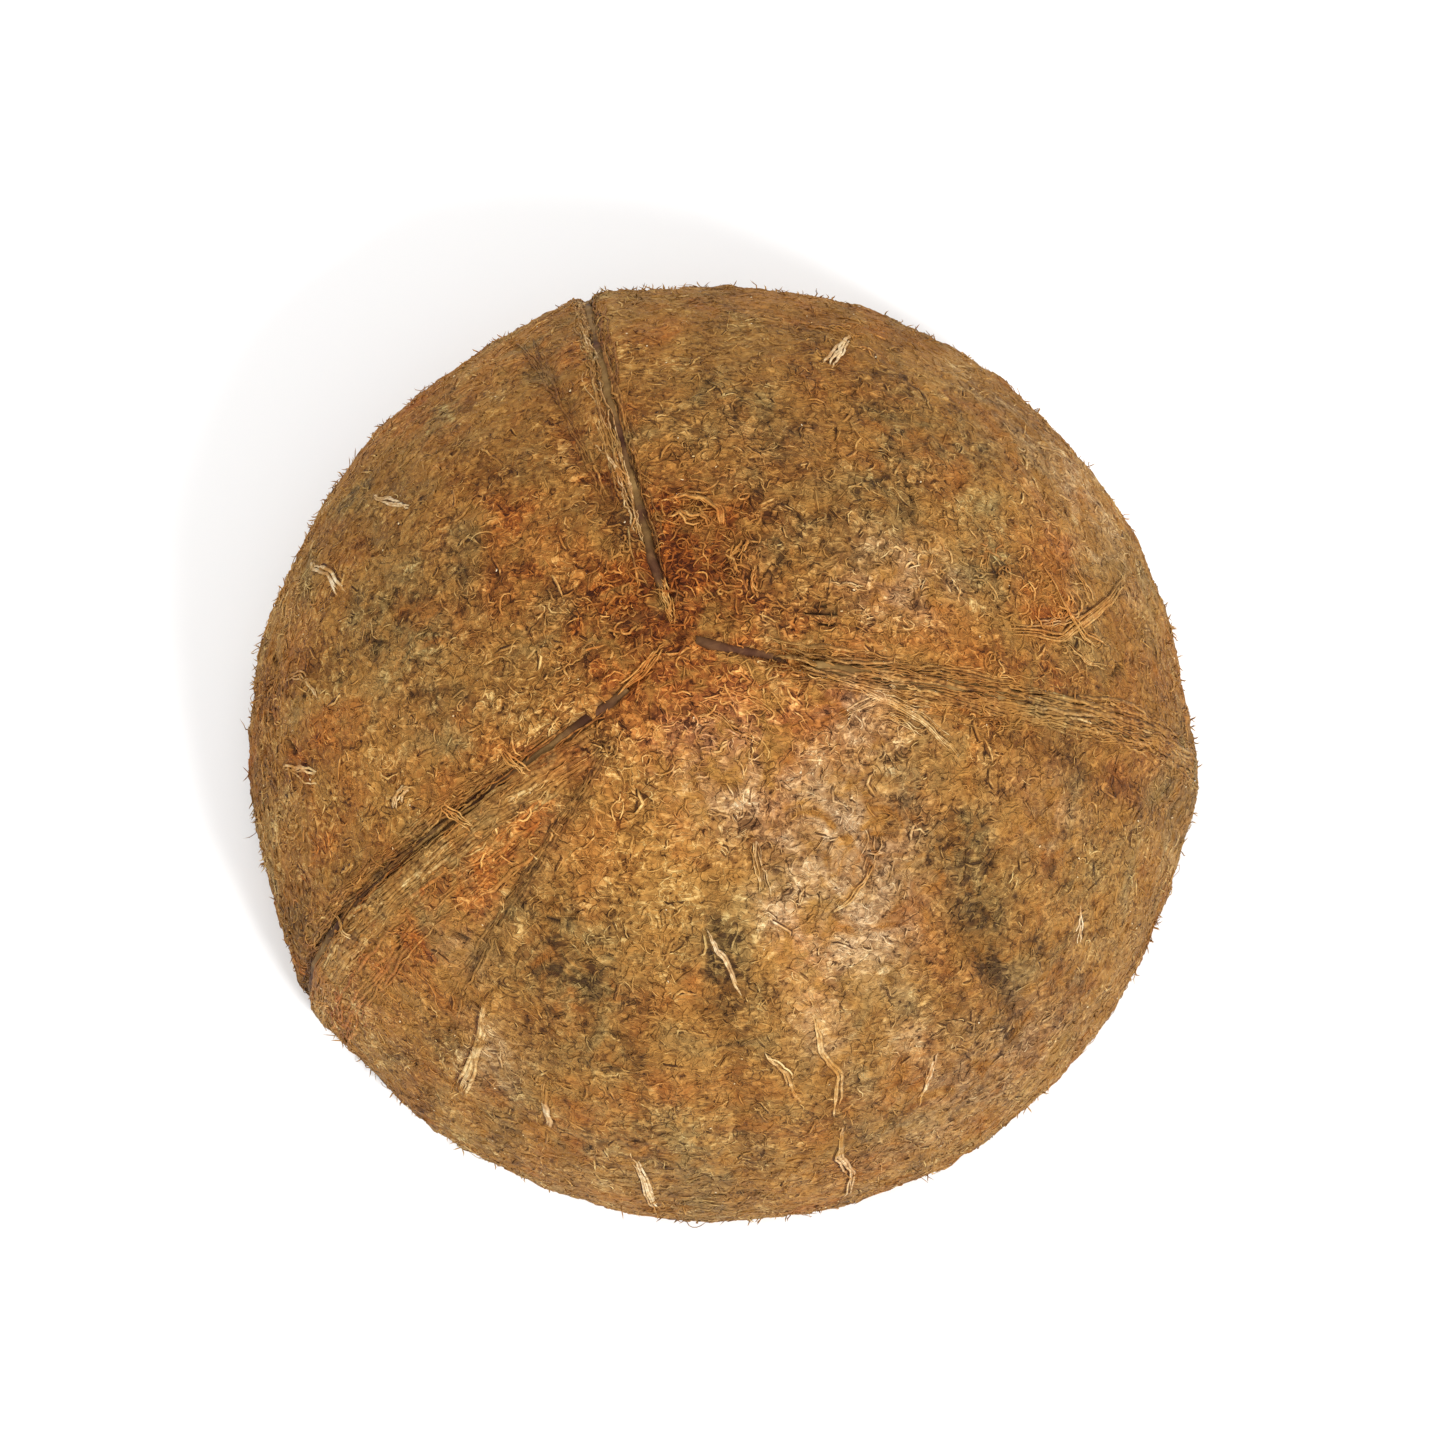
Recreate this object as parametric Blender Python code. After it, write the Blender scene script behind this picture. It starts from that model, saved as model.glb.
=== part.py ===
"""Half coconut shell with its coat of husk fibre, sawn across the nut and lying on the saw cut.

Metres, +Z up. The origin is on the ground, under the middle of the shell.
Run it with blender --background --python part.py, or from Blender's text editor.
"""

import math
import random

import bmesh
import bpy
from mathutils import Matrix, Vector, noise

# Driving dimensions of the nut
NUT_RADIUS = 0.0586  # middle of the nut to the outside of its fibre, at the waist
POLE_REACH = 0.0590  # middle of the nut to its pole
CUT_DROP = 0.0020  # the saw went this far below the middle of the nut
RIM_WALL = 0.0046  # hard shell and fibre together, at the saw cut
POLE_WALL = 0.0056  # the same, under the pole
POLE_LEAN = (-0.079, 0.052)  # x and y of the nut's axis as a unit vector: the cut is a little askew

# The three seams that meet at the pole. Each keeps its azimuth low on the nut and
# turns by its twist near the pole, where it fades over the reach, an angle from the pole.
SEAMS = (
    {"azimuth": math.radians(105.5), "twist": math.radians(0.0), "reach": math.radians(20.0)},
    {"azimuth": math.radians(212.0), "twist": math.radians(22.0), "reach": math.radians(15.0)},
    {"azimuth": math.radians(356.5), "twist": math.radians(-12.0), "reach": math.radians(30.0)},
)
RIDGE_HEIGHT, RIDGE_HALF_WIDTH = 0.0011, 0.0062  # the swelling along each seam
SLIT_DEPTH, SLIT_HALF_WIDTH = 0.0013, 0.0009  # the bare slit along its crest
SLIT_START = math.radians(4.0)  # the slits close just short of the pole

# Shallow furrows where the fibre was torn away: azimuth, first and last polar angle
FURROWS = (
    (math.radians(114.8), math.radians(18.0), math.radians(46.0)),
    (math.radians(233.5), math.radians(14.0), math.radians(58.0)),
    (math.radians(275.0), math.radians(38.0), math.radians(82.0)),
    (math.radians(315.5), math.radians(30.0), math.radians(66.0)),
    (math.radians(349.0), math.radians(44.0), math.radians(80.0)),
)
FURROW_DEPTH, FURROW_HALF_WIDTH = 0.0006, 0.0017
FURROW_FADE = math.radians(6.0)

POLE_POINT, POLE_POINT_SPREAD = 0.0010, math.radians(13.0)  # the nut ends in a low point
LUMPS = ((0.00060, 0.0160), (0.00030, 0.0075))  # height and size of the lumps in the fibre

# The mesh of the nut
COLUMNS_AFTER_SEAM = (32, 44, 32)  # from each seam to the next, so that a column lies on every seam
NUT_ROWS = 40
CROWDING = 0.74  # 0 spaces the columns evenly, and towards 1 they gather at the seams
CAVITY_COLUMNS, CAVITY_ROWS = 42, 34

# Coarse strands of fibre that lie on the coat, each sunk by half its thickness
STRAND_RADIUS = 0.00048
STRAND_TIP = 0.6  # thickness at the ends, as a share of the thickness
STRAND_SEED = 21
SEAM_STRAND_OFFSETS = (-0.0046, -0.0029, 0.0026, 0.0041, 0.0056)  # sideways from the seam
SEAM_STRAND_POINTS = 8
SEAM_STRAND_STARTS = (math.radians(20.0), math.radians(38.0))  # range of angles from the pole
SEAM_STRAND_ENDS = (math.radians(68.0), math.radians(84.0))
SEAM_STRAND_WOBBLE = (0.0003, 0.0006)  # how far a strand strays sideways
SEAM_STRAND_TURNS = 7.0  # radians of wobble from end to end, so a little over one wave
LOOSE_STRANDS, LOOSE_STRAND_POINTS = 44, 6
LOOSE_STRAND_SPREAD = 0.92  # 1 would spread the loose strands down to the nut's waist
LOOSE_STRAND_STEPS = (0.0016, 0.0028)
LOOSE_STRAND_HEADING = math.radians(40.0)  # how far they start out from the line to the pole
LOOSE_STRAND_KINK = math.radians(34.0)
GOLDEN_ANGLE = math.pi * (3.0 - math.sqrt(5.0))
SAME_PLACE = 1e-6

FIBRE_COLOUR = (0.343, 0.165, 0.051, 1.0)
SAW_REACH = 0.15  # side of the block that stands for the saw
SHARP_EDGE = math.radians(50.0)


def seam_azimuth(seam, polar):
    """Azimuth of a seam at this angle from the pole."""
    return seam["azimuth"] + seam["twist"] * math.exp(-polar / seam["reach"])


def turn_between(azimuth, other):
    """Signed angle from one azimuth to another, the short way round."""
    return (azimuth - other + math.pi) % (2.0 * math.pi) - math.pi


def crowd_to_seams(column, polar):
    """Azimuth of a column of the mesh, numbered from the first seam. They lie closest at the seams."""
    sector = 0
    while column >= COLUMNS_AFTER_SEAM[sector]:
        column -= COLUMNS_AFTER_SEAM[sector]
        sector += 1
    along = column / COLUMNS_AFTER_SEAM[sector]
    first = seam_azimuth(SEAMS[sector], polar)
    last = seam_azimuth(SEAMS[(sector + 1) % len(SEAMS)], polar)
    eased = along - CROWDING * math.sin(2.0 * math.pi * along) / (2.0 * math.pi)
    return first + (last - first) % (2.0 * math.pi) * eased


def bump(distance, half_width):
    """1 in the middle, falling smoothly away on both sides."""
    return math.exp(-((distance / half_width) ** 2))


def furrow_depth(polar, azimuth, around):
    """Depth of the torn furrows at a place that lies around metres from the nut's axis."""
    depth = 0.0
    for middle, start, end in FURROWS:
        outside = max(start - polar, polar - end, 0.0)
        across = bump(around * turn_between(azimuth, middle), FURROW_HALF_WIDTH)
        depth = max(depth, FURROW_DEPTH * across * bump(outside, FURROW_FADE))
    return depth


def relief(polar, azimuth):
    """Height of the fibre coat over the plain egg of the nut."""
    around = NUT_RADIUS * math.sin(polar)
    away = min(abs(turn_between(azimuth, seam_azimuth(seam, polar))) for seam in SEAMS) * around
    height = POLE_POINT * bump(polar, POLE_POINT_SPREAD)
    height += RIDGE_HEIGHT * bump(away, RIDGE_HALF_WIDTH)
    opened = 1.0 - bump(polar, SLIT_START)
    height -= SLIT_DEPTH * opened * bump(away, SLIT_HALF_WIDTH)
    height -= furrow_depth(polar, azimuth, around)
    place = egg_point(polar, azimuth, NUT_RADIUS, POLE_REACH)
    return height + sum(tall * noise.noise(place / size) for tall, size in LUMPS)


def egg_point(polar, azimuth, radius, reach):
    """A point of an egg about the nut's own axis, which is +Z here."""
    across = radius * math.sin(polar)
    return Vector((across * math.cos(azimuth), across * math.sin(azimuth), reach * math.cos(polar)))


def coat_point(polar, azimuth):
    """A point on the outside of the fibre coat, in the nut's own frame."""
    height = relief(polar, azimuth)
    return egg_point(polar, azimuth, NUT_RADIUS + height, POLE_REACH + height)


def angles_of(point):
    """Angle from the pole, and azimuth, of a point of the unit sphere."""
    return math.acos(max(-1.0, min(1.0, point.z))), math.atan2(point.y, point.x)


def new_collection(name):
    collection = bpy.data.collections.new(name)
    bpy.context.scene.collection.children.link(collection)
    return collection


def mesh_object(name, mesh_builder, collection):
    """An object in this collection, from the bmesh that mesh_builder gives."""
    mesh = bpy.data.meshes.new(name)
    mesh_builder.to_mesh(mesh)
    mesh_builder.free()
    made = bpy.data.objects.new(name, mesh)
    collection.objects.link(made)
    return made


def make_fibre_material():
    """Dry coir: light brown, dull, no metal."""
    material = bpy.data.materials.new("husk_fibre")
    material.use_nodes = True
    shader = material.node_tree.nodes["Principled BSDF"]
    shader.inputs["Base Color"].default_value = FIBRE_COLOUR
    shader.inputs["Roughness"].default_value = 0.9
    shader.inputs["Metallic"].default_value = 0.0
    return material


def nut_placement():
    """Leans the nut's axis and lifts its middle, so that the saw cut lies at z = 0 round the origin."""
    lean_x, lean_y = POLE_LEAN
    axis = Vector((lean_x, lean_y, math.sqrt(1.0 - lean_x**2 - lean_y**2)))
    level_x = (Vector((1.0, 0.0, 0.0)) - axis * axis.x).normalized()
    turned = Matrix((level_x, axis.cross(level_x), axis)).transposed().to_4x4()
    return Matrix.Translation((0.0, 0.0, CUT_DROP)) @ turned


def make_nut(collection):
    """The whole nut, solid, with its seams, furrows and lumps."""
    builder = bmesh.new()
    columns = sum(COLUMNS_AFTER_SEAM)
    bmesh.ops.create_uvsphere(builder, u_segments=columns, v_segments=NUT_ROWS, radius=1.0)
    for vert in builder.verts:
        polar, azimuth = angles_of(vert.co)
        column = round(azimuth / (2.0 * math.pi) * columns) % columns
        vert.co = coat_point(polar, crowd_to_seams(column, polar))
    return mesh_object("coconut_half_shell", builder, collection)


def make_cavity(collection):
    """The smooth hollow where the flesh was."""
    builder = bmesh.new()
    bmesh.ops.create_uvsphere(builder, u_segments=CAVITY_COLUMNS, v_segments=CAVITY_ROWS, radius=1.0)
    for vert in builder.verts:
        polar, azimuth = angles_of(vert.co)
        vert.co = egg_point(polar, azimuth, NUT_RADIUS - RIM_WALL, POLE_REACH - POLE_WALL)
    return mesh_object("cavity_cutter", builder, collection)


def make_saw_block(collection):
    """Everything below the saw cut."""
    builder = bmesh.new()
    bmesh.ops.create_cube(builder, size=SAW_REACH)
    bmesh.ops.translate(builder, verts=builder.verts, vec=(0.0, 0.0, -0.5 * SAW_REACH))
    return mesh_object("saw_cutter", builder, collection)


def seam_strand_route(seam, offset, draw):
    """A long strand that runs beside a seam, sideways from it by the offset."""
    start = draw.uniform(*SEAM_STRAND_STARTS)
    end = draw.uniform(*SEAM_STRAND_ENDS)
    wobble = draw.uniform(*SEAM_STRAND_WOBBLE)
    phase = draw.uniform(0.0, 2.0 * math.pi)
    route = []
    for step in range(SEAM_STRAND_POINTS):
        along = step / (SEAM_STRAND_POINTS - 1)
        polar = start + (end - start) * along
        sideways = offset + wobble * math.sin(phase + SEAM_STRAND_TURNS * along)
        route.append((polar, seam_azimuth(seam, polar) + sideways / (NUT_RADIUS * math.sin(polar))))
    return route


def loose_strand_route(number, draw):
    """A short crooked strand. They are spread evenly over the dome on a golden spiral."""
    share = (number + 0.5) / LOOSE_STRANDS
    polar = math.acos(1.0 - LOOSE_STRAND_SPREAD * share)
    azimuth = number * GOLDEN_ANGLE
    heading = draw.gauss(0.0, LOOSE_STRAND_HEADING)
    step_length = draw.uniform(*LOOSE_STRAND_STEPS)
    route = [(polar, azimuth)]
    for _ in range(LOOSE_STRAND_POINTS - 1):
        polar += step_length * math.cos(heading) / POLE_REACH
        azimuth += step_length * math.sin(heading) / (NUT_RADIUS * max(math.sin(polar), 0.1))
        heading += draw.gauss(0.0, LOOSE_STRAND_KINK)
        route.append((polar, azimuth))
    return route


def make_strand(name, route, collection):
    """A closed round strand along a route of polar angles and azimuths, thinner at its ends."""
    curve = bpy.data.curves.new(name, "CURVE")
    curve.dimensions = "3D"
    curve.bevel_depth = STRAND_RADIUS
    curve.bevel_resolution = 0
    curve.use_fill_caps = True
    spline = curve.splines.new("POLY")
    spline.points.add(len(route) - 1)
    for point, (polar, azimuth) in zip(spline.points, route):
        point.co = (*coat_point(polar, azimuth), 1.0)
    spline.points[0].radius = spline.points[-1].radius = STRAND_TIP
    guide = bpy.data.objects.new(name + "_line", curve)
    collection.objects.link(guide)
    graph = bpy.context.evaluated_depsgraph_get()
    mesh = bpy.data.meshes.new_from_object(guide.evaluated_get(graph))
    builder = bmesh.new()
    builder.from_mesh(mesh)
    bmesh.ops.remove_doubles(builder, verts=builder.verts, dist=SAME_PLACE)
    strand = mesh_object(name, builder, collection)
    strand.matrix_world = guide.matrix_world
    bpy.data.objects.remove(guide)
    bpy.data.meshes.remove(mesh)
    return strand


def make_strands(collection):
    """The strands beside the seams, then the loose ones all over the dome."""
    draw = random.Random(STRAND_SEED)
    for number, seam in enumerate(SEAMS):
        for place, offset in enumerate(SEAM_STRAND_OFFSETS):
            route = seam_strand_route(seam, offset, draw)
            make_strand(f"seam_strand_{number}_{place}", route, collection)
    for number in range(LOOSE_STRANDS):
        make_strand(f"loose_strand_{number:02d}", loose_strand_route(number, draw), collection)


def add_boolean(target, name, operation, operand):
    """A Boolean of the target with an object, or with every object of a collection."""
    modifier = target.modifiers.new(name, "BOOLEAN")
    modifier.operation = operation
    modifier.solver = "EXACT"
    if isinstance(operand, bpy.types.Collection):
        modifier.operand_type = "COLLECTION"
        modifier.collection = operand
    else:
        modifier.object = operand
    return modifier


def fuse_strands(nut, strands):
    """Joins all strands to the nut in one union, applies it, and removes the loose strands."""
    fuse = add_boolean(nut, "fuse_strands", "UNION", strands)
    graph = bpy.context.evaluated_depsgraph_get()
    fused = bpy.data.meshes.new_from_object(nut.evaluated_get(graph))
    nut.modifiers.remove(fuse)
    nut.data = fused
    for strand in list(strands.objects):
        bpy.data.objects.remove(strand)
    bpy.data.collections.remove(strands)


def middle_of_outline(nut):
    """Middle of the nut's outline above the saw cut, seen from above."""
    above = [p for p in (nut.matrix_world @ vert.co for vert in nut.data.vertices) if p.z >= 0.0]
    spans = [(min(p[axis] for p in above), max(p[axis] for p in above)) for axis in (0, 1)]
    return Vector((sum(spans[0]) / 2.0, sum(spans[1]) / 2.0, 0.0))


def hide_cutter(cutter):
    cutter.hide_render = True
    cutter.display_type = "WIRE"


def main():
    for leftover in list(bpy.data.objects):
        bpy.data.objects.remove(leftover)
    parts = new_collection("half_coconut_shell")
    cutters = new_collection("cutters")
    strands = new_collection("strands")

    nut = make_nut(parts)
    nut.data.materials.append(make_fibre_material())
    make_strands(strands)
    fuse_strands(nut, strands)

    cavity = make_cavity(cutters)
    saw = make_saw_block(cutters)
    nut.matrix_world = nut_placement()
    centring = Matrix.Translation(-middle_of_outline(nut))
    nut.matrix_world = centring @ nut.matrix_world
    cavity.matrix_world = nut.matrix_world
    for name, cutter in (("hollow", cavity), ("saw_cut", saw)):
        add_boolean(nut, name, "DIFFERENCE", cutter)
        hide_cutter(cutter)
    nut.data.shade_smooth()
    nut.data.set_sharp_from_angle(angle=SHARP_EDGE)


main()
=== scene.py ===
# %% [markdown]
# # Half a coconut shell, dome up
#
# The object is one grown piece: a hard shell under a coat of husk fibre, sawn across the nut.
# Its construction is a plain solid, and this lesson dresses it: a fine skin with the same form,
# tens of thousands of fibres as real meshes, and materials made from nodes alone.
#
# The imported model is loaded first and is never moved. Everything else is built around it, in metres.

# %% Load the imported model
import math

import bpy
import numpy as np
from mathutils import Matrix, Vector, noise


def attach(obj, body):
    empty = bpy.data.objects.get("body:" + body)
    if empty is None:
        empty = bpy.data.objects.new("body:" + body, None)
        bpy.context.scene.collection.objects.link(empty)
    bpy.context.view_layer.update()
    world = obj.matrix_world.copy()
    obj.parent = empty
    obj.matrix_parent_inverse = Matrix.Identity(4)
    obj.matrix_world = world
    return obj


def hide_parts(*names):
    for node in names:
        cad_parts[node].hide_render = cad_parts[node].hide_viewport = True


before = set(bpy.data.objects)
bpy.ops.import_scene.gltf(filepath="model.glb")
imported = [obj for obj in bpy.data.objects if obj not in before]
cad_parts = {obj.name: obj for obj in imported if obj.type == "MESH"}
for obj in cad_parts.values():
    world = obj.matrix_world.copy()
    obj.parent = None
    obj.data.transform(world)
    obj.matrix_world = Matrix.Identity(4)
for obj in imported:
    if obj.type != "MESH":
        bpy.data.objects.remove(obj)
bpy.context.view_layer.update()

SHELL_NODE = "coconut_half_shell"

# %% [markdown]
# ## A few helpers
#
# An operator works on whatever is selected, and a loaded model comes in selected. So every step
# that uses operators starts by deselecting all. The other helpers keep vector arithmetic short:
# each works on arrays that hold many points at once, with x, y and z in the last place.

# %% Helpers for operators and arrays
def deselect_all():
    """Leaves edit mode and deselects every object."""
    if bpy.context.object and bpy.context.object.mode != "OBJECT":
        bpy.ops.object.mode_set(mode="OBJECT")
    bpy.ops.object.select_all(action="DESELECT")


def make_active(piece):
    """Selects this piece alone."""
    deselect_all()
    piece.select_set(True)
    bpy.context.view_layer.objects.active = piece


def points_of(piece):
    """The vertices of a mesh object as an array."""
    flat = np.empty(len(piece.data.vertices) * 3)
    piece.data.vertices.foreach_get("co", flat)
    return flat.reshape(-1, 3)


def move_points(piece, points):
    """Gives every vertex of a mesh object a new place."""
    piece.data.vertices.foreach_set("co", np.asarray(points, float).ravel())
    piece.data.update()


def unit(vectors):
    """The same directions with length 1."""
    return vectors / np.linalg.norm(vectors, axis=-1, keepdims=True)


def bump(distance, half_width):
    """1 in the middle, falling smoothly away on both sides."""
    return np.exp(-((distance / half_width) ** 2))


def noise_at(points, size):
    """Smooth noise from about -1 to 1 at many points. Its lumps are about as large as size."""
    flat = np.asarray(points, float).reshape(-1, 3) / size
    return np.array([noise.noise(Vector(place)) for place in flat]).reshape(points.shape[:-1])


# %% [markdown]
# ## The form of the nut
#
# The nut is an egg about an axis that leans a little, because the saw went across it askew. That
# lean is also why the three seams meet beside the middle of the picture. Any point of the coat is
# named by its angle from the pole and its azimuth round the axis. The height of the coat over the
# plain egg is a formula: ridges with a slit along the seams, torn furrows, and lumps. The solid
# shell was made from the same values, so the finer skin that is built here has the same form.

# %% The nut, its seams and its furrows
NUT_RADIUS = 0.0586
POLE_REACH = 0.0590
RIM_WALL, POLE_WALL = 0.0046, 0.0056
NUT_MIDDLE = Vector((-0.000488, -0.000157, 0.0020))
POLE_LEAN = (-0.079, 0.052)

SEAMS = {  # azimuth low on the nut, turn near the pole, and the angle over which the turn fades
    "upper": np.radians((105.5, 0.0, 20.0)),
    "lower left": np.radians((212.0, 22.0, 15.0)),
    "right": np.radians((356.5, -12.0, 30.0)),
}
RIDGE_HEIGHT, RIDGE_HALF_WIDTH = 0.0011, 0.0062
SLIT_DEPTH, SLIT_HALF_WIDTH, SLIT_START = 0.0013, 0.0009, math.radians(4.0)
FURROWS = np.radians(((114.8, 18, 46), (233.5, 14, 58), (275, 38, 82), (315.5, 30, 66), (349, 44, 80)))
FURROW_DEPTH, FURROW_HALF_WIDTH, FURROW_FADE = 0.0006, 0.0017, math.radians(6.0)
POLE_POINT, POLE_POINT_SPREAD = 0.0010, math.radians(13.0)
LUMPS = ((0.00060, 0.0160), (0.00030, 0.0075))


def turn_between(azimuth, other):
    """Signed angle from one azimuth to another, the short way round."""
    return (azimuth - other + math.pi) % (2.0 * math.pi) - math.pi


def beside_seam(seam, polar, azimuth):
    """Distance in metres from a seam, measured round the nut. It is positive anticlockwise."""
    low, turn, fade = SEAMS[seam]
    return turn_between(azimuth, low + turn * np.exp(-polar / fade)) * NUT_RADIUS * np.sin(polar)


def furrow_share(polar, azimuth):
    """1 in the middle of a torn furrow and 0 away from all of them."""
    share = np.zeros_like(polar)
    for middle, start, end in FURROWS:
        outside = np.maximum(np.maximum(start - polar, polar - end), 0.0)
        across = bump(NUT_RADIUS * np.sin(polar) * turn_between(azimuth, middle), FURROW_HALF_WIDTH)
        share = np.maximum(share, across * bump(outside, FURROW_FADE))
    return share


def egg_points(polar, azimuth, radius, reach):
    """Points of an egg about the nut's own axis."""
    across = radius * np.sin(polar)
    return np.stack((across * np.cos(azimuth), across * np.sin(azimuth), reach * np.cos(polar)), -1)


def coat_height(polar, azimuth, slits=1.0):
    """Height of the fibre coat over the plain egg. With slits=0 it runs level over the slits."""
    away = np.minimum.reduce([np.abs(beside_seam(seam, polar, azimuth)) for seam in SEAMS])
    height = POLE_POINT * bump(polar, POLE_POINT_SPREAD) + RIDGE_HEIGHT * bump(away, RIDGE_HALF_WIDTH)
    height -= slits * SLIT_DEPTH * (1.0 - bump(polar, SLIT_START)) * bump(away, SLIT_HALF_WIDTH)
    height -= FURROW_DEPTH * furrow_share(polar, azimuth)
    plain = egg_points(polar, azimuth, NUT_RADIUS, POLE_REACH)
    return height + sum(tall * noise_at(plain, size) for tall, size in LUMPS)


def angles_of(points):
    """Angle from the pole, and azimuth, of points round the nut's middle."""
    return np.arccos(np.clip(unit(points)[..., 2], -1.0, 1.0)), np.arctan2(points[..., 1], points[..., 0])


NUT_AXIS = Vector((*POLE_LEAN, math.sqrt(1.0 - POLE_LEAN[0] ** 2 - POLE_LEAN[1] ** 2)))
LEVEL_X = (Vector((1.0, 0.0, 0.0)) - NUT_AXIS * NUT_AXIS.x).normalized()
NUT_TURN = np.array((LEVEL_X, NUT_AXIS.cross(LEVEL_X), NUT_AXIS))


def leaned(vectors):
    """Directions in the nut's own frame, turned into the object's frame."""
    return vectors @ NUT_TURN


def placed(points):
    """Points in the nut's own frame, put into the object's frame."""
    return leaned(points) + np.array(NUT_MIDDLE)


def coat_points(polar, azimuth, lift=0.0, slits=1.0):
    """Points that lie lift above the coat, in the object's frame."""
    height = coat_height(polar, azimuth, slits) + lift
    return placed(egg_points(polar, azimuth, NUT_RADIUS + height, POLE_REACH + height))


print("the nut's axis leans by", round(math.degrees(NUT_AXIS.angle(Vector((0.0, 0.0, 1.0)))), 1), "degrees")
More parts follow.
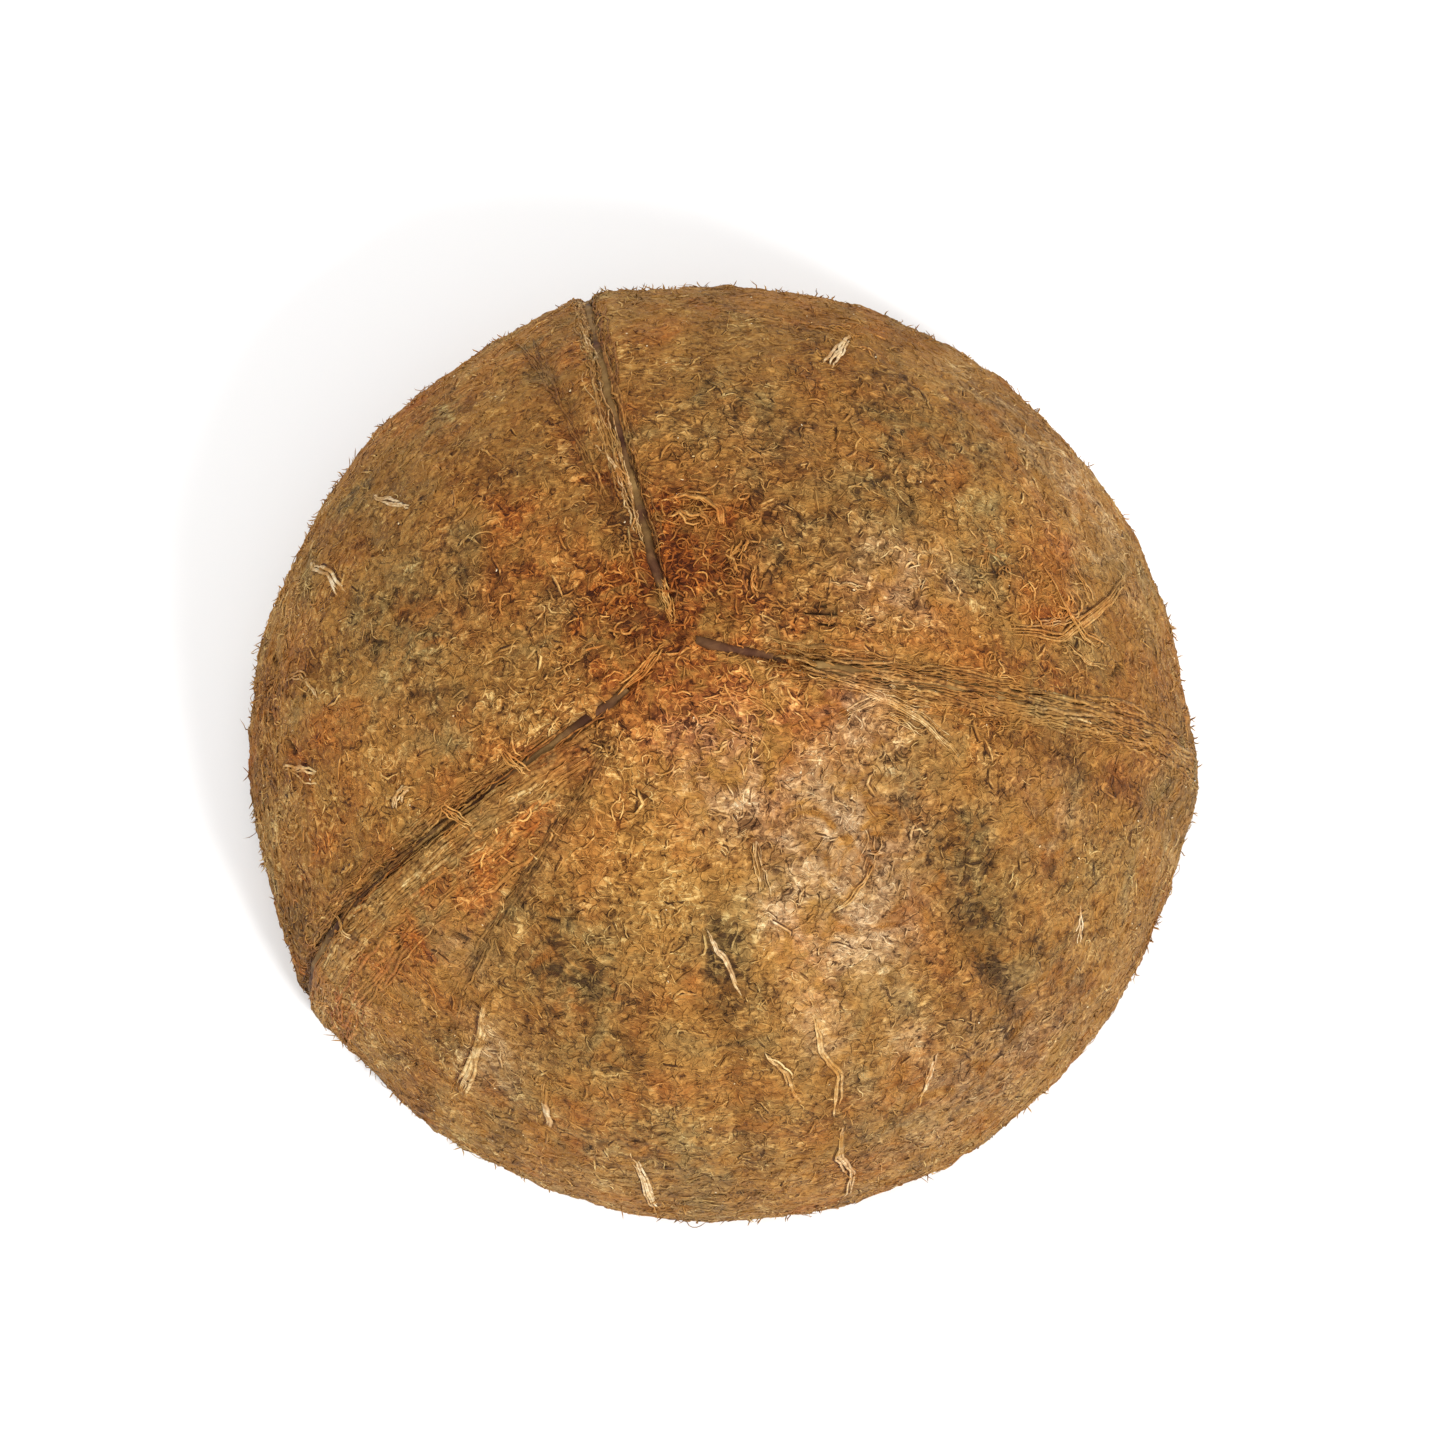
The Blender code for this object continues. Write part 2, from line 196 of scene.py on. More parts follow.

# %% [markdown]
# ## Where the coat is bare, torn or stained
#
# The colour of the coat changes from place to place: rust red round the pole, orange below it,
# grey olive where the felt is thin, pale where it is rubbed. Below and right of the pole the pale
# and light spots are partly a painted sheen of the key light. Each stain is one soft spot with a
# name, a place on the nut, a size and a strength, and a formula turns them into masks. The same
# masks are later stored on the skin and on every fibre, so that both change colour together.
#
# A slit is bare shell with no fibre on it. A crack is a short, deep gap in the felt.

# %% Stains, bare slits and cracks
STAINS = {  # kind: angle from the pole, azimuth, length down the nut and width round it in mm, strength
    "red": (
        (9, 84, 10, 8, 1.4), (6, 133, 7, 7, 1.3), (9, 305, 9, 10, 1.2), (12, 333, 6, 6, 0.7),
        (3, 40, 5, 5, 1.2),
        (9, 195, 5, 6, 0.8), (16, 352, 6, 8, 0.6), (27, 231, 7, 3.5, 1.0), (36, 229, 7, 4, 1.0),
        (48, 224.5, 9, 3.5, 1.0),
        (29, 197, 8, 6, 0.6), (42, 188, 11, 3, 0.5), (43, 110, 9, 4, 0.45), (24, 115.5, 12, 2, 0.6),
        (22.6, 300, 6, 3, 0.6), (38, 292, 9, 2.6, 0.6), (43, 9, 8, 6, 0.6), (42, 355, 8, 9, 0.6),
        (33, 335, 8, 7, 0.45), (58, 171, 8, 8, 0.5), (26, 202, 8, 3, 0.5), (22, 142, 11, 4.5, 0.36),
        (28, 67, 8, 6, 0.4), (18, 160, 8, 7, 0.5), (37, 63.8, 13, 1.6, 0.4), (62, 75, 8, 9, 0.4),
        (28, 143, 17, 15, 0.2), (27, 48, 12, 9, 0.25), (60, 222, 9, 7, 0.5), (72, 120, 10, 18, 0.35),
        (55, 190, 4, 4, 0.6), (60, 350, 8, 5, 0.45), (16, 110, 14, 13, 0.36), (15, 60, 11, 10, 0.36),
        (30, 197, 4, 4, 0.9), (28, 219, 6, 4, 0.8), (36, 225, 9, 4, 0.8), (19, 238, 4, 5, 0.5),
        (53, 114, 8, 5, 0.6),
        (28, 105, 7, 4, 0.6), (30, 152, 6, 5, 0.5), (10, 346, 5, 4, 1.0), (30, 343, 6, 5, 0.5),
        (22, 20, 6, 5, 0.36),
        (8, 12, 5, 5, 0.9), (10, 358, 7, 4, 0.8), (6, 215, 5, 5, 0.9), (29, 198, 6, 5, 0.7),
        (25, 219, 9, 4, 0.45),
        (38, 354, 10, 6, 0.55), (60, 120, 14, 12, 0.36),
    ),
    "grey": (
        (33, 173, 10, 9, 0.95), (29, 182, 4, 8, 0.7), (38.5, 250, 8, 8, 1.0), (36, 276.5, 6, 4, 0.9),
        (53, 12, 5, 5, 0.5), (38, 19, 3.5, 5, 1.0), (40, 28, 4, 5, 0.8), (30, 323.5, 4, 3.5, 0.9),
        (38, 322, 5, 3.5, 1.0), (46, 319.5, 5, 3, 0.95), (54, 316, 6, 2.6, 0.85),
        (64, 312.5, 7, 2.4, 0.8),
        (40, 328, 5, 3, 0.8), (62, 327, 16, 20, 0.50), (59, 331, 9, 9, 0.7), (32, 74, 9, 10, 0.6),
        (50, 84, 10, 8, 0.5), (50, 133, 7, 7, 0.8), (69, 295, 9, 8, 0.6), (57, 268, 8, 3, 0.5),
        (45, 45, 11, 10, 0.65), (30, 40, 6, 6, 0.6), (62, 95, 10, 9, 0.5), (20, 222, 8, 3, 0.5),
        (54, 150, 7, 6, 0.6), (28, 236, 14, 2.2, 0.6), (15, 41, 5, 4, 0.7), (48, 281, 6, 2, 0.5),
        (60, 40, 9, 10, 0.5), (66, 208, 7, 7, 0.4), (60, 245, 9, 7, 0.7), (72, 352, 6, 5, 0.6),
        (54, 300, 10, 8, 0.5), (58, 276, 9, 8, 0.4), (72, 307, 9, 9, 0.6), (20, 42, 6, 5, 0.6),
        (64, 264, 12, 22, 0.60), (55, 296, 9, 8, 0.6), (31, 309, 7, 6, 0.4), (60, 322, 9, 9, 0.5),
        (30, 309, 6, 5, 0.5), (50, 73, 7, 6, 0.5), (57, 283, 6, 6, 0.5),
        (60, 285, 13, 16, 0.36), (60, 252, 10, 9, 0.5), (55, 332, 8, 8, 0.6), (41, 282, 5, 3, 0.5),
        (38, 48, 8, 7, 0.7), (50, 257, 6, 6, 0.6),
    ),
    "pale": (
        # Round 24 to 38 degrees from the pole and azimuth 303 to 314 the pale spots are partly pale fibre and
        # partly a painted sheen of the key light.
        (29, 309, 11, 7, 1.0), (24, 314, 6, 4, 0.6), (38, 303, 8, 6, 0.8), (16, 291, 7, 6, 0.6),
        (26, 18, 7, 5, 0.5), (22, 338, 5, 5, 0.6), (57, 241, 6, 4, 0.6), (47, 290, 8, 3, 0.45),
        (44, 232, 4, 3, 0.4), (69, 307, 12, 16, 0.45), (62, 32, 10, 18, 0.45), (70, 150, 9, 20, 0.2),
        (32, 290, 6, 2.5, 0.6), (56, 300, 5, 4, 0.4), (48, 338, 6, 5, 0.4), (33.6, 305, 9, 6, 0.5),
    ),
    "light": (
        # The first light spot, at 29 degrees and azimuth 309, is partly a painted sheen of the key light.
        (29, 309, 13, 9, 0.10), (13, 300, 9, 11, 0.04), (25, 232, 9, 4, 0.14), (26, 16, 9, 7, 0.06),
        (24, 280.4, 6, 2.6, 0.08), (33, 284.5, 7, 2.6, 0.15), (44, 288, 8, 2.6, 0.14),
        (52, 240, 9, 5, 0.05),
        (41, 316, 5, 2.6, 0.10), (9.2, 123, 4, 4, 0.10), (37, 234.5, 6, 3, 0.07), (56, 273, 10, 4, 0.08),
        (46, 86, 9, 6, 0.05), (34, 193, 10, 10, 0.06), (27, 112, 6, 3, 0.09), (33, 152, 6, 5, 0.07),
        (39, 30, 5, 3, 0.08),
        (38, 15.4, 4, 5, 0.08), (36, 234, 6, 4, 0.06), (47.9, 231.4, 6, 4, 0.08),
        (32.7, 257, 5, 5, 0.08),
        (38, 187, 6, 3, 0.07), (56, 208, 7, 4, 0.08), (86, 270, 5, 8, 0.08), (20, 250, 10, 12, 0.05),
        (66, 160, 8, 14, 0.05),
    ),
    "dark": (
        (9, 95, 9, 8, 0.12), (6, 145, 6, 6, 0.10), (30, 323.5, 4, 2.4, 0.12), (38, 322, 5, 2.4, 0.14),
        (46, 319.5, 5, 1.8, 0.16), (54, 316, 6, 1.6, 0.15), (64, 312.5, 7, 1.5, 0.12),
        (40, 328, 5, 1.6, 0.12),
        (38.5, 250, 8, 8, 0.10), (33, 173, 10, 9, 0.04), (24, 115.5, 14, 1.4, 0.10),
        (38, 19, 4, 5, 0.10),
        (49, 226, 8, 2.0, 0.14), (35, 277, 6, 4, 0.10), (28, 236, 14, 1.6, 0.12), (49, 343, 10, 9, 0.10),
        (86, 180, 9, 70, 0.05), (62, 330, 16, 24, 0.05), (28, 77, 8, 1.2, 0.12),
        (37, 63.8, 13, 1.3, 0.12),
        (56, 262, 18, 1.6, 0.10), (56, 278.5, 18, 1.5, 0.08), (60, 290, 12, 1.6, 0.08),
        (33.5, 132, 7, 6, 0.10),
        (22.7, 40, 7, 8, 0.11), (10, 23, 5, 5, 0.08), (23, 298, 5, 4, 0.09), (37, 358, 6, 8, 0.09),
        (49, 242.6, 5, 5, 0.08), (73, 306, 8, 9, 0.08), (50, 302, 5, 4, 0.09), (38, 303, 4, 4, 0.06),
        (24, 296, 5, 3, 0.10), (10, 62, 5, 5, 0.10), (19.6, 343, 6, 5, 0.10), (48, 262, 7, 4, 0.10),
        (42, 51, 6, 6, 0.10), (64, 302.5, 6, 5, 0.08), (41, 343, 6, 6, 0.06), (18, 119.5, 5, 3, 0.06),
        (30.4, 135, 6, 5, 0.08),
    ),
}

SLIT_HOLLOWS = (  # seam, half width in mm, first and last angle from the pole: no felt grows here
    ("upper", 0.45, 5.0, 87.0),
    ("lower left", 0.60, 8.0, 87.0),
    ("right", 0.40, 3.0, 12.0),
)
CRACKS = (  # both ends, each as angle from the pole and azimuth, then half width in mm
    ((13.5, 15.5), (17.0, 14.0), 0.18), ((14.0, 12.5), (18.0, 10.0), 0.22),
    ((14.5, 7.5), (17.5, 5.5), 0.20), ((34.0, 240.5), (33.5, 247.0), 0.26),
    ((43.0, 227.5), (42.0, 231.0), 0.20), ((44.0, 322.5), (44.5, 329.5), 0.24),
    ((31.0, 316.5), (33.5, 309.0), 0.22), ((60.5, 117.0), (53.5, 116.5), 0.24),
    ((34.5, 41.5), (32.5, 35.0), 0.45), ((32.5, 35.0), (30.5, 30.0), 0.25),
    ((45.5, 320.0), (47.5, 320.5), 0.22), ((54.0, 0.5), (58.0, 4.0), 0.22),
    ((10.5, 316.0), (12.5, 318.0), 0.25), ((11.0, 226.0), (13.5, 226.5), 0.20),
    ((78.9, 347.0), (78.1, 350.7), 0.30), ((0.4, 190.0), (1.0, 340.0), 0.16),
    ((12.0, 350.5), (19.0, 349.0), 0.16), ((64.3, 171.9), (61.5, 174.4), 0.38),
    ((56.4, 184.9), (54.4, 189.1), 0.40), ((52.8, 189.9), (49.7, 193.3), 0.38),
    ((43.6, 179.3), (43.3, 181.1), 0.34), ((63.9, 179.3), (60.8, 182.6), 0.36),
    ((51.2, 179.7), (50.6, 181.0), 0.34), ((55.6, 211.9), (57.5, 213.5), 0.40),
    ((48.5, 220.7), (51.0, 222.7), 0.36),
)
MILLIMETRE = 0.001


def stain_mask(kind, polar, azimuth):
    """How strong one kind of stain is at each place."""
    mask = np.zeros_like(polar)
    for middle, side, long, wide, strength in STAINS[kind]:
        down = (polar - math.radians(middle)) * NUT_RADIUS / (long * MILLIMETRE)
        round_it = turn_between(azimuth, math.radians(side)) * NUT_RADIUS * np.sin(polar)
        spot = strength * np.exp(-(down**2) - (round_it / (wide * MILLIMETRE)) ** 2)
        mask = np.maximum(mask, spot) if strength > 0.35 else mask + spot
    return mask


def bare_mask(polar, azimuth):
    """1 in the slits of the seams, where no felt grows."""
    mask = np.zeros_like(polar)
    for seam, half_width, start, end in SLIT_HOLLOWS:
        beside = np.abs(beside_seam(seam, polar, azimuth)) / MILLIMETRE
        inside = np.clip((half_width - beside) / 0.5 + 0.5, 0.0, 1.0)
        reach = np.clip((np.degrees(polar) - start) / 1.5, 0.0, 1.0) * (np.degrees(polar) < end)
        mask = np.maximum(mask, inside * reach)
    return mask


def crack_mask(polar, azimuth):
    """1 in the middle of each short crack."""
    here = egg_points(polar, azimuth, NUT_RADIUS, POLE_REACH)
    mask = np.zeros_like(polar)
    for first, last, half_width in CRACKS:
        ends = [egg_points(*np.radians(end), NUT_RADIUS, POLE_REACH) for end in (first, last)]
        line = ends[1] - ends[0]
        along = np.clip((here - ends[0]) @ line / (line @ line), 0.0, 1.0)
        away = np.linalg.norm(here - ends[0] - along[..., None] * line, axis=-1)
        pinch = half_width * MILLIMETRE * (0.35 + 0.65 * np.sin(math.pi * np.clip(along, 0.05, 0.95)))
        mask = np.maximum(mask, bump(away, pinch))
    return mask


print("stains:", {kind: len(spots) for kind, spots in STAINS.items()}, "and", len(CRACKS), "cracks")

# %% [markdown]
# ## The skin
#
# The outside could be a UV sphere, but its faces crowd at the pole, just where the camera looks.
# An icosphere has faces of one size everywhere, so it takes fine relief evenly. A ball of
# unit size is added, each of its points is read as an angle from the pole and an azimuth, and the
# point moves to the coat at that place. Bisect then plays the saw.
#
# The felt is crumpled: flat mats a few millimetres wide with thin creases between them. The
# absolute value of noise has just this shape, because it bends sharply where the noise is zero.

# %% Add the ball, shape it into the nut and saw it
SKIN_CUTS, BOWL_CUTS = 8, 6
MATS = ((0.00055, 0.0042), (0.00040, 0.0019))
MAT_MEAN = 0.22
POLE_TORN = math.radians(24.0)
CRACK_DEPTH = 0.0006
SAW_REACH = 0.00012


def felt_relief(polar, azimuth):
    """Fine unevenness of the felt, and its cracks, over the coat."""
    plain = egg_points(polar, azimuth, NUT_RADIUS, POLE_REACH)
    mats = sum(tall * (np.abs(noise_at(plain + size, size)) - MAT_MEAN) for tall, size in MATS)
    mats = mats * (0.8 + 0.7 * bump(polar, POLE_TORN))
    felted = 1.0 - 0.85 * bare_mask(polar, azimuth)
    return mats * felted - CRACK_DEPTH * crack_mask(polar, azimuth)


def felt_points(polar, azimuth, lift=0.0, slits=1.0):
    """Points that lie lift above the crumpled felt, in the object's frame."""
    return coat_points(polar, azimuth, felt_relief(polar, azimuth) + lift, slits)


def saw_off_below_ground(piece):
    """Cuts a mesh at z = 0, keeps what is above, and leaves the cut open.

    Bisect takes points very near the plane for points on it, so those are then moved onto it.
    """
    make_active(piece)
    bpy.ops.object.mode_set(mode="EDIT")
    bpy.ops.mesh.select_all(action="SELECT")
    bpy.ops.mesh.bisect(plane_co=(0.0, 0.0, 0.0), plane_no=(0.0, 0.0, 1.0), clear_inner=True)
    bpy.ops.object.mode_set(mode="OBJECT")
    points = points_of(piece)
    points[np.abs(points[:, 2]) < SAW_REACH, 2] = 0.0
    move_points(piece, points)


deselect_all()
bpy.ops.mesh.primitive_ico_sphere_add(subdivisions=SKIN_CUTS, radius=1.0)
skin = bpy.context.object
skin.name = "fibre_coat_and_shell"
skin_polar, skin_azimuth = angles_of(points_of(skin))
move_points(skin, felt_points(skin_polar, skin_azimuth))
saw_off_below_ground(skin)
print("the outside of the skin has", len(skin.data.polygons), "faces")

# %% [markdown]
# ## The hollow and the sawn rim
#
# The flesh left a smooth bowl. It is a second, coarser icosphere, sawn the same way and turned
# inside out, because its visible side faces the middle. The two halves are joined into one mesh.
# The open edge of the coat is extruded inwards once, which gives the ring of sawn fibre, and
# bridging the last two edges gives the ring of sawn shell. The skin is then one closed surface.

# %% Make the bowl and close the rim
COAT_THICKNESS = 0.0013
EDGE_REACH = 0.00005
BOWL_RELIEF = ((0.00035, 0.020), (0.00010, 0.004))

deselect_all()
bpy.ops.mesh.primitive_ico_sphere_add(subdivisions=BOWL_CUTS, radius=1.0)
bowl = bpy.context.object
bowl_polar, bowl_azimuth = angles_of(points_of(bowl))
bowl_plain = egg_points(bowl_polar, bowl_azimuth, NUT_RADIUS - RIM_WALL, POLE_REACH - POLE_WALL)
bowl_dents = sum(tall * noise_at(bowl_plain + 0.3, size) for tall, size in BOWL_RELIEF)
move_points(bowl, placed(bowl_plain + unit(bowl_plain) * bowl_dents[:, None]))
saw_off_below_ground(bowl)
make_active(bowl)
bpy.ops.object.mode_set(mode="EDIT")
bpy.ops.mesh.select_all(action="SELECT")
bpy.ops.mesh.flip_normals()
bpy.ops.object.mode_set(mode="OBJECT")

for piece in (skin, bowl):
    piece.data.materials.clear()
make_active(skin)
bowl.select_set(True)
bpy.ops.object.join()


def select_open_edges(piece, least_radius=0.0):
    """Selects the edges that border only one face and lie at least this far out."""
    bpy.ops.mesh.select_all(action="DESELECT")
    bpy.ops.mesh.select_mode(type="EDGE")
    bpy.ops.mesh.select_non_manifold(extend=False, use_wire=False, use_multi_face=False, use_verts=False)
    bpy.ops.object.mode_set(mode="OBJECT")
    for edge in piece.data.edges:
        ends = [piece.data.vertices[index].co for index in edge.vertices]
        if edge.select and min(math.hypot(end.x, end.y) for end in ends) < least_radius:
            edge.select = False
    for vertex in piece.data.vertices:
        vertex.select = False
    for edge in piece.data.edges:
        if edge.select:
            for index in edge.vertices:
                piece.data.vertices[index].select = True
    bpy.ops.object.mode_set(mode="EDIT")


bpy.ops.object.mode_set(mode="EDIT")
select_open_edges(skin, least_radius=NUT_RADIUS - 0.5 * RIM_WALL)
bpy.ops.mesh.extrude_edges_move()
inward = 1.0 - COAT_THICKNESS / NUT_RADIUS
bpy.ops.transform.resize(value=(inward, inward, 1.0), center_override=(0.0, 0.0, 0.0))
select_open_edges(skin)
bpy.ops.mesh.bridge_edge_loops()
bpy.ops.mesh.select_all(action="SELECT")
bpy.ops.mesh.quads_convert_to_tris()
bpy.ops.object.mode_set(mode="OBJECT")
print("the skin has", len(skin.data.polygons), "faces with its bowl and rim")

# %% [markdown]
# ## Masks on the skin
#
# A material can read any attribute that a mesh carries. `stain` holds red, grey and pale as its
# three numbers, `shade` says how light the place is, and `bare` is 1 where the shell shows
# through. Attributes go out with the mesh, and they cost nothing to read, so this is better than
# repeating the stains as nodes.

# %% Store the masks on a mesh
BASE_SHADE = 0.5
FURROW_SHADE = 0.10
DULL_RIM = np.array((0.0, 0.38, 0.16))


def streaks_at(polar, azimuth):
    """Faint light and dark streaks that run down the nut from the pole."""
    around = np.stack((np.cos(azimuth), np.sin(azimuth), 0.12 * polar), -1)
    return 0.11 * noise_at(around, 0.11) + 0.08 * noise_at(around + 7.0, 0.045)


SMOOTH_SIDE, SMOOTH_SPREAD, ROUGH_SIDE, ROUGH_SPREAD = np.radians((88.0, 42.0, 190.0, 45.0))
ROUGH_ALL_OVER, ROUGH_AT_POLE = 1.18, 0.75


def roughness_at(polar, azimuth):
    """How strong the fine contrast of the felt is: most round the pole, least at the back of the nut."""
    low_down = np.clip((np.degrees(polar) - 30.0) / 45.0, 0.0, 1.0)
    smooth_side = bump(turn_between(azimuth, SMOOTH_SIDE), SMOOTH_SPREAD)
    rough_side = bump(turn_between(azimuth, ROUGH_SIDE), ROUGH_SPREAD)
    least = low_down * (0.25 + 0.40 * smooth_side - 0.50 * rough_side)
    return ROUGH_ALL_OVER + ROUGH_AT_POLE * bump(polar, POLE_TORN) - least


def stains_at(polar, azimuth):
    """Red, grey and pale in one array, with x, y and z as the three kinds. Low down the coat is duller."""
    stains = np.stack([stain_mask(kind, polar, azimuth) for kind in ("red", "grey", "pale")], -1)
    low_down = np.clip((np.degrees(polar) - 52.0) / 35.0, 0.0, 1.0)
    return np.maximum(stains, low_down[..., None] * DULL_RIM)


def shade_at(polar, azimuth):
    """How light the coat is at a place, where 0.5 is the middle of its range."""
    light_and_dark = stain_mask("light", polar, azimuth) - stain_mask("dark", polar, azimuth)
    light_and_dark = light_and_dark + streaks_at(polar, azimuth)
    return BASE_SHADE + light_and_dark - FURROW_SHADE * furrow_share(polar, azimuth)


def store(piece, name, values):
    """Adds an attribute of numbers, or of vectors, one for each vertex."""
    kind, field = ("FLOAT_VECTOR", "vector") if values.ndim == 2 else ("FLOAT", "value")
    attribute = piece.data.attributes.new(name, kind, "POINT")
    attribute.data.foreach_set(field, np.asarray(values, np.float32).ravel())


skin_polar, skin_azimuth = angles_of((points_of(skin) - np.array(NUT_MIDDLE)) @ NUT_TURN.T)
store(skin, "stain", stains_at(skin_polar, skin_azimuth))
store(skin, "shade", shade_at(skin_polar, skin_azimuth))
store(skin, "rough", roughness_at(skin_polar, skin_azimuth))
store(skin, "bare", bare_mask(skin_polar, skin_azimuth))
store(skin, "crack", crack_mask(skin_polar, skin_azimuth))
print("stored the masks on", len(skin_polar), "vertices")

# %% [markdown]
# ## Bare strips along the seams
#
# Where three parts of the nut grew together the shell shows as a smooth strip, dark purple brown
# or olive. A strip is a grid, bent along its seam by the same formulas, with a wavy edge. It lies
# low between the ridges. Solidify gives it thickness downwards, into the skin.

# %% Bend a grid along each seam
STRIP_COLUMNS = 8
STRIP_ROW = 0.0006
STRIP_THICKNESS = 0.0005
BARE_STRIPS = (  # name, seam, shift, half width and lift in mm, first and last angle from the pole
    ("strip_upper", "upper", 0.0, 0.40, 0.28, 5.5, 87.5),
    ("strip_lower_left", "lower left", -0.05, 0.46, 0.10, 7.5, 31.0),
    ("strip_lower_left_low", "lower left", -0.1, 0.50, 0.15, 32.0, 56.0),
    ("strip_lower_left_end", "lower left", 0.1, 0.52, 0.30, 55.0, 87.0),
    ("strip_right", "right", 0.0, 0.42, 0.05, 2.2, 10.5),
    ("strip_right_cover", "right", -0.1, 0.95, 0.78, 15.0, 88.5),
)
DARK_STRETCHES = {  # angle from the pole and reach in degrees where a strip is purple brown
    "strip_upper": ((8, 3.5), (15, 1.5), (26, 4), (45, 2), (62, 1.5)),
    "strip_lower_left": ((12, 5), (30, 10)),
    "strip_lower_left_low": ((44, 14),),
    "strip_lower_left_end": ((56, 5), (75, 5)),
    "strip_right": ((7, 9),),
    "strip_right_cover": ((0, 2),),
}


def lay_strip(name, seam, shift, half_width, lift, start, end):
    """A thin solid strip along a seam."""
    rows = int(math.radians(end - start) * NUT_RADIUS / STRIP_ROW)
    deselect_all()
    bpy.ops.mesh.primitive_grid_add(x_subdivisions=STRIP_COLUMNS, y_subdivisions=rows, size=2.0)
    piece = bpy.context.object
    piece.name = name
    flat = points_of(piece)
    across, polar = flat[:, 0], np.radians(start + (end - start) * (flat[:, 1] + 1.0) / 2.0)
    along = np.stack((np.sign(across) * 0.01, polar * NUT_RADIUS, np.zeros_like(polar)), -1)
    wavy = 1.0 + 1.1 * noise_at(along, 0.0040) + 0.7 * noise_at(along, 0.0014)
    taper = np.clip((1.0 - np.abs(flat[:, 1])) * rows / 18.0, 0.03, 1.0)
    bend = 0.35 * noise_at(np.stack((0.0 * across, polar * NUT_RADIUS, 0.0 * polar), -1), 0.0060)
    beside = (shift + bend + across * half_width * wavy * taper) * MILLIMETRE
    low, turn, fade = SEAMS[seam]
    middle = low + turn * np.exp(-polar / fade)
    azimuth = middle + beside / (NUT_RADIUS * np.sin(polar))
    plain = egg_points(polar, azimuth, NUT_RADIUS, POLE_REACH)
    uneven = 0.00012 * noise_at(plain, 0.0020) - 0.00022 * across**2
    height = coat_height(polar, middle) + lift * MILLIMETRE + uneven
    move_points(piece, placed(egg_points(polar, azimuth, NUT_RADIUS + height, POLE_REACH + height)))
    dark = np.max([bump(np.degrees(polar) - at, reach) for at, reach in DARK_STRETCHES[name]], axis=0)
    store(piece, "dark", dark)
    piece.modifiers.new("thickness", "SOLIDIFY").thickness = STRIP_THICKNESS
    make_active(piece)
    bpy.ops.object.modifier_apply(modifier="thickness")
    bpy.ops.object.mode_set(mode="EDIT")
    bpy.ops.mesh.select_all(action="SELECT")
    bpy.ops.mesh.normals_make_consistent(inside=False)
    bpy.ops.object.mode_set(mode="OBJECT")
    if points_of(piece)[:, 2].min() < 0.0:
        saw_off_below_ground(piece)
        make_active(piece)
        bpy.ops.object.mode_set(mode="EDIT")
        bpy.ops.mesh.select_all(action="DESELECT")
        bpy.ops.mesh.select_non_manifold(use_wire=False, use_multi_face=False, use_verts=False)
        bpy.ops.mesh.edge_face_add()
        bpy.ops.object.mode_set(mode="OBJECT")
    piece.data.shade_smooth()
    return piece


strips = [lay_strip(*strip) for strip in BARE_STRIPS]
print("strips:", [(strip.name, len(strip.data.polygons)) for strip in strips])

# %% [markdown]
# ## One strand
#
# Hair particles would be the quick way to make a coat of fibre, but an exported model loses
# them. So each fibre here is a small closed mesh. The strand is modelled once: a three-sided
# fan is drawn out into a cone, extruded ring by ring, and closed to a point at the far end.
# One unit along X is the way from one ring, or station, to the next.

# %% Model a strand
def model_strand(stations):
    """A straight three-sided strand with pointed ends. Gives its points, triangles and stations."""
    deselect_all()
    bpy.ops.mesh.primitive_circle_add(
        vertices=3, radius=1.0, fill_type="TRIFAN", location=(1.0, 0.0, 0.0),
        rotation=(0.0, math.pi / 2.0, 0.0),
    )
    strand = bpy.context.object
    bpy.ops.object.transform_apply(location=True, rotation=True)
    for vertex in strand.data.vertices:
        if math.hypot(vertex.co.y, vertex.co.z) < 0.5:
            vertex.co.x = 0.0
    bpy.ops.object.mode_set(mode="EDIT")
    bpy.ops.mesh.select_all(action="DESELECT")
    bpy.ops.mesh.select_non_manifold(use_wire=False, use_multi_face=False, use_verts=False)
    for _ in range(stations - 2):
        bpy.ops.mesh.extrude_edges_move(TRANSFORM_OT_translate={"value": (1.0, 0.0, 0.0)})
    bpy.ops.mesh.merge(type="CENTER")
    bpy.ops.mesh.select_all(action="SELECT")
    bpy.ops.mesh.quads_convert_to_tris()
    bpy.ops.mesh.normals_make_consistent(inside=False)
    bpy.ops.object.mode_set(mode="OBJECT")
    points = points_of(strand)
    faces = np.array([tuple(face.vertices) for face in strand.data.polygons])
    bpy.data.objects.remove(strand)
    return {"points": points, "faces": faces, "station": np.rint(points[:, 0]).astype(int)}


STATIONS = {"shadow_strand": 4, "flat": 5, "curly": 8, "long": 14}
strands = {kind: model_strand(stations) for kind, stations in STATIONS.items()}
print("faces in a strand:", {kind: len(strand["faces"]) for kind, strand in strands.items()})

# %% [markdown]
# ## Laying strands on the coat
#
# A strand is laid by walking over the nut: from its root it takes a step along its heading,
# then turns a little, and so on. Thousands of routes are walked at once, one row of an array
# each. Then a copy of the strand is bent along every route, with its own width and its own
# colour values, and all copies of one kind become one mesh. Whatever would dip below the ground
# is left out, because the saw cut it off.

# %% Walk the routes and bend a copy of the strand along each
GROUND_GAP = 0.00005


def nut_directions(polar, azimuth):
    """Unit vectors from the nut's middle."""
    return egg_points(polar, azimuth, 1.0, 1.0)


def headings(directions, angle):
    """Tangents at these places, at an angle from the line that runs down from the pole."""
    axis = np.array((0.0, 0.0, 1.0))
    round_it = unit(np.cross(axis, directions) + 1e-9)
    down = np.cross(round_it, directions)
    return np.cos(angle)[..., None] * down + np.sin(angle)[..., None] * round_it


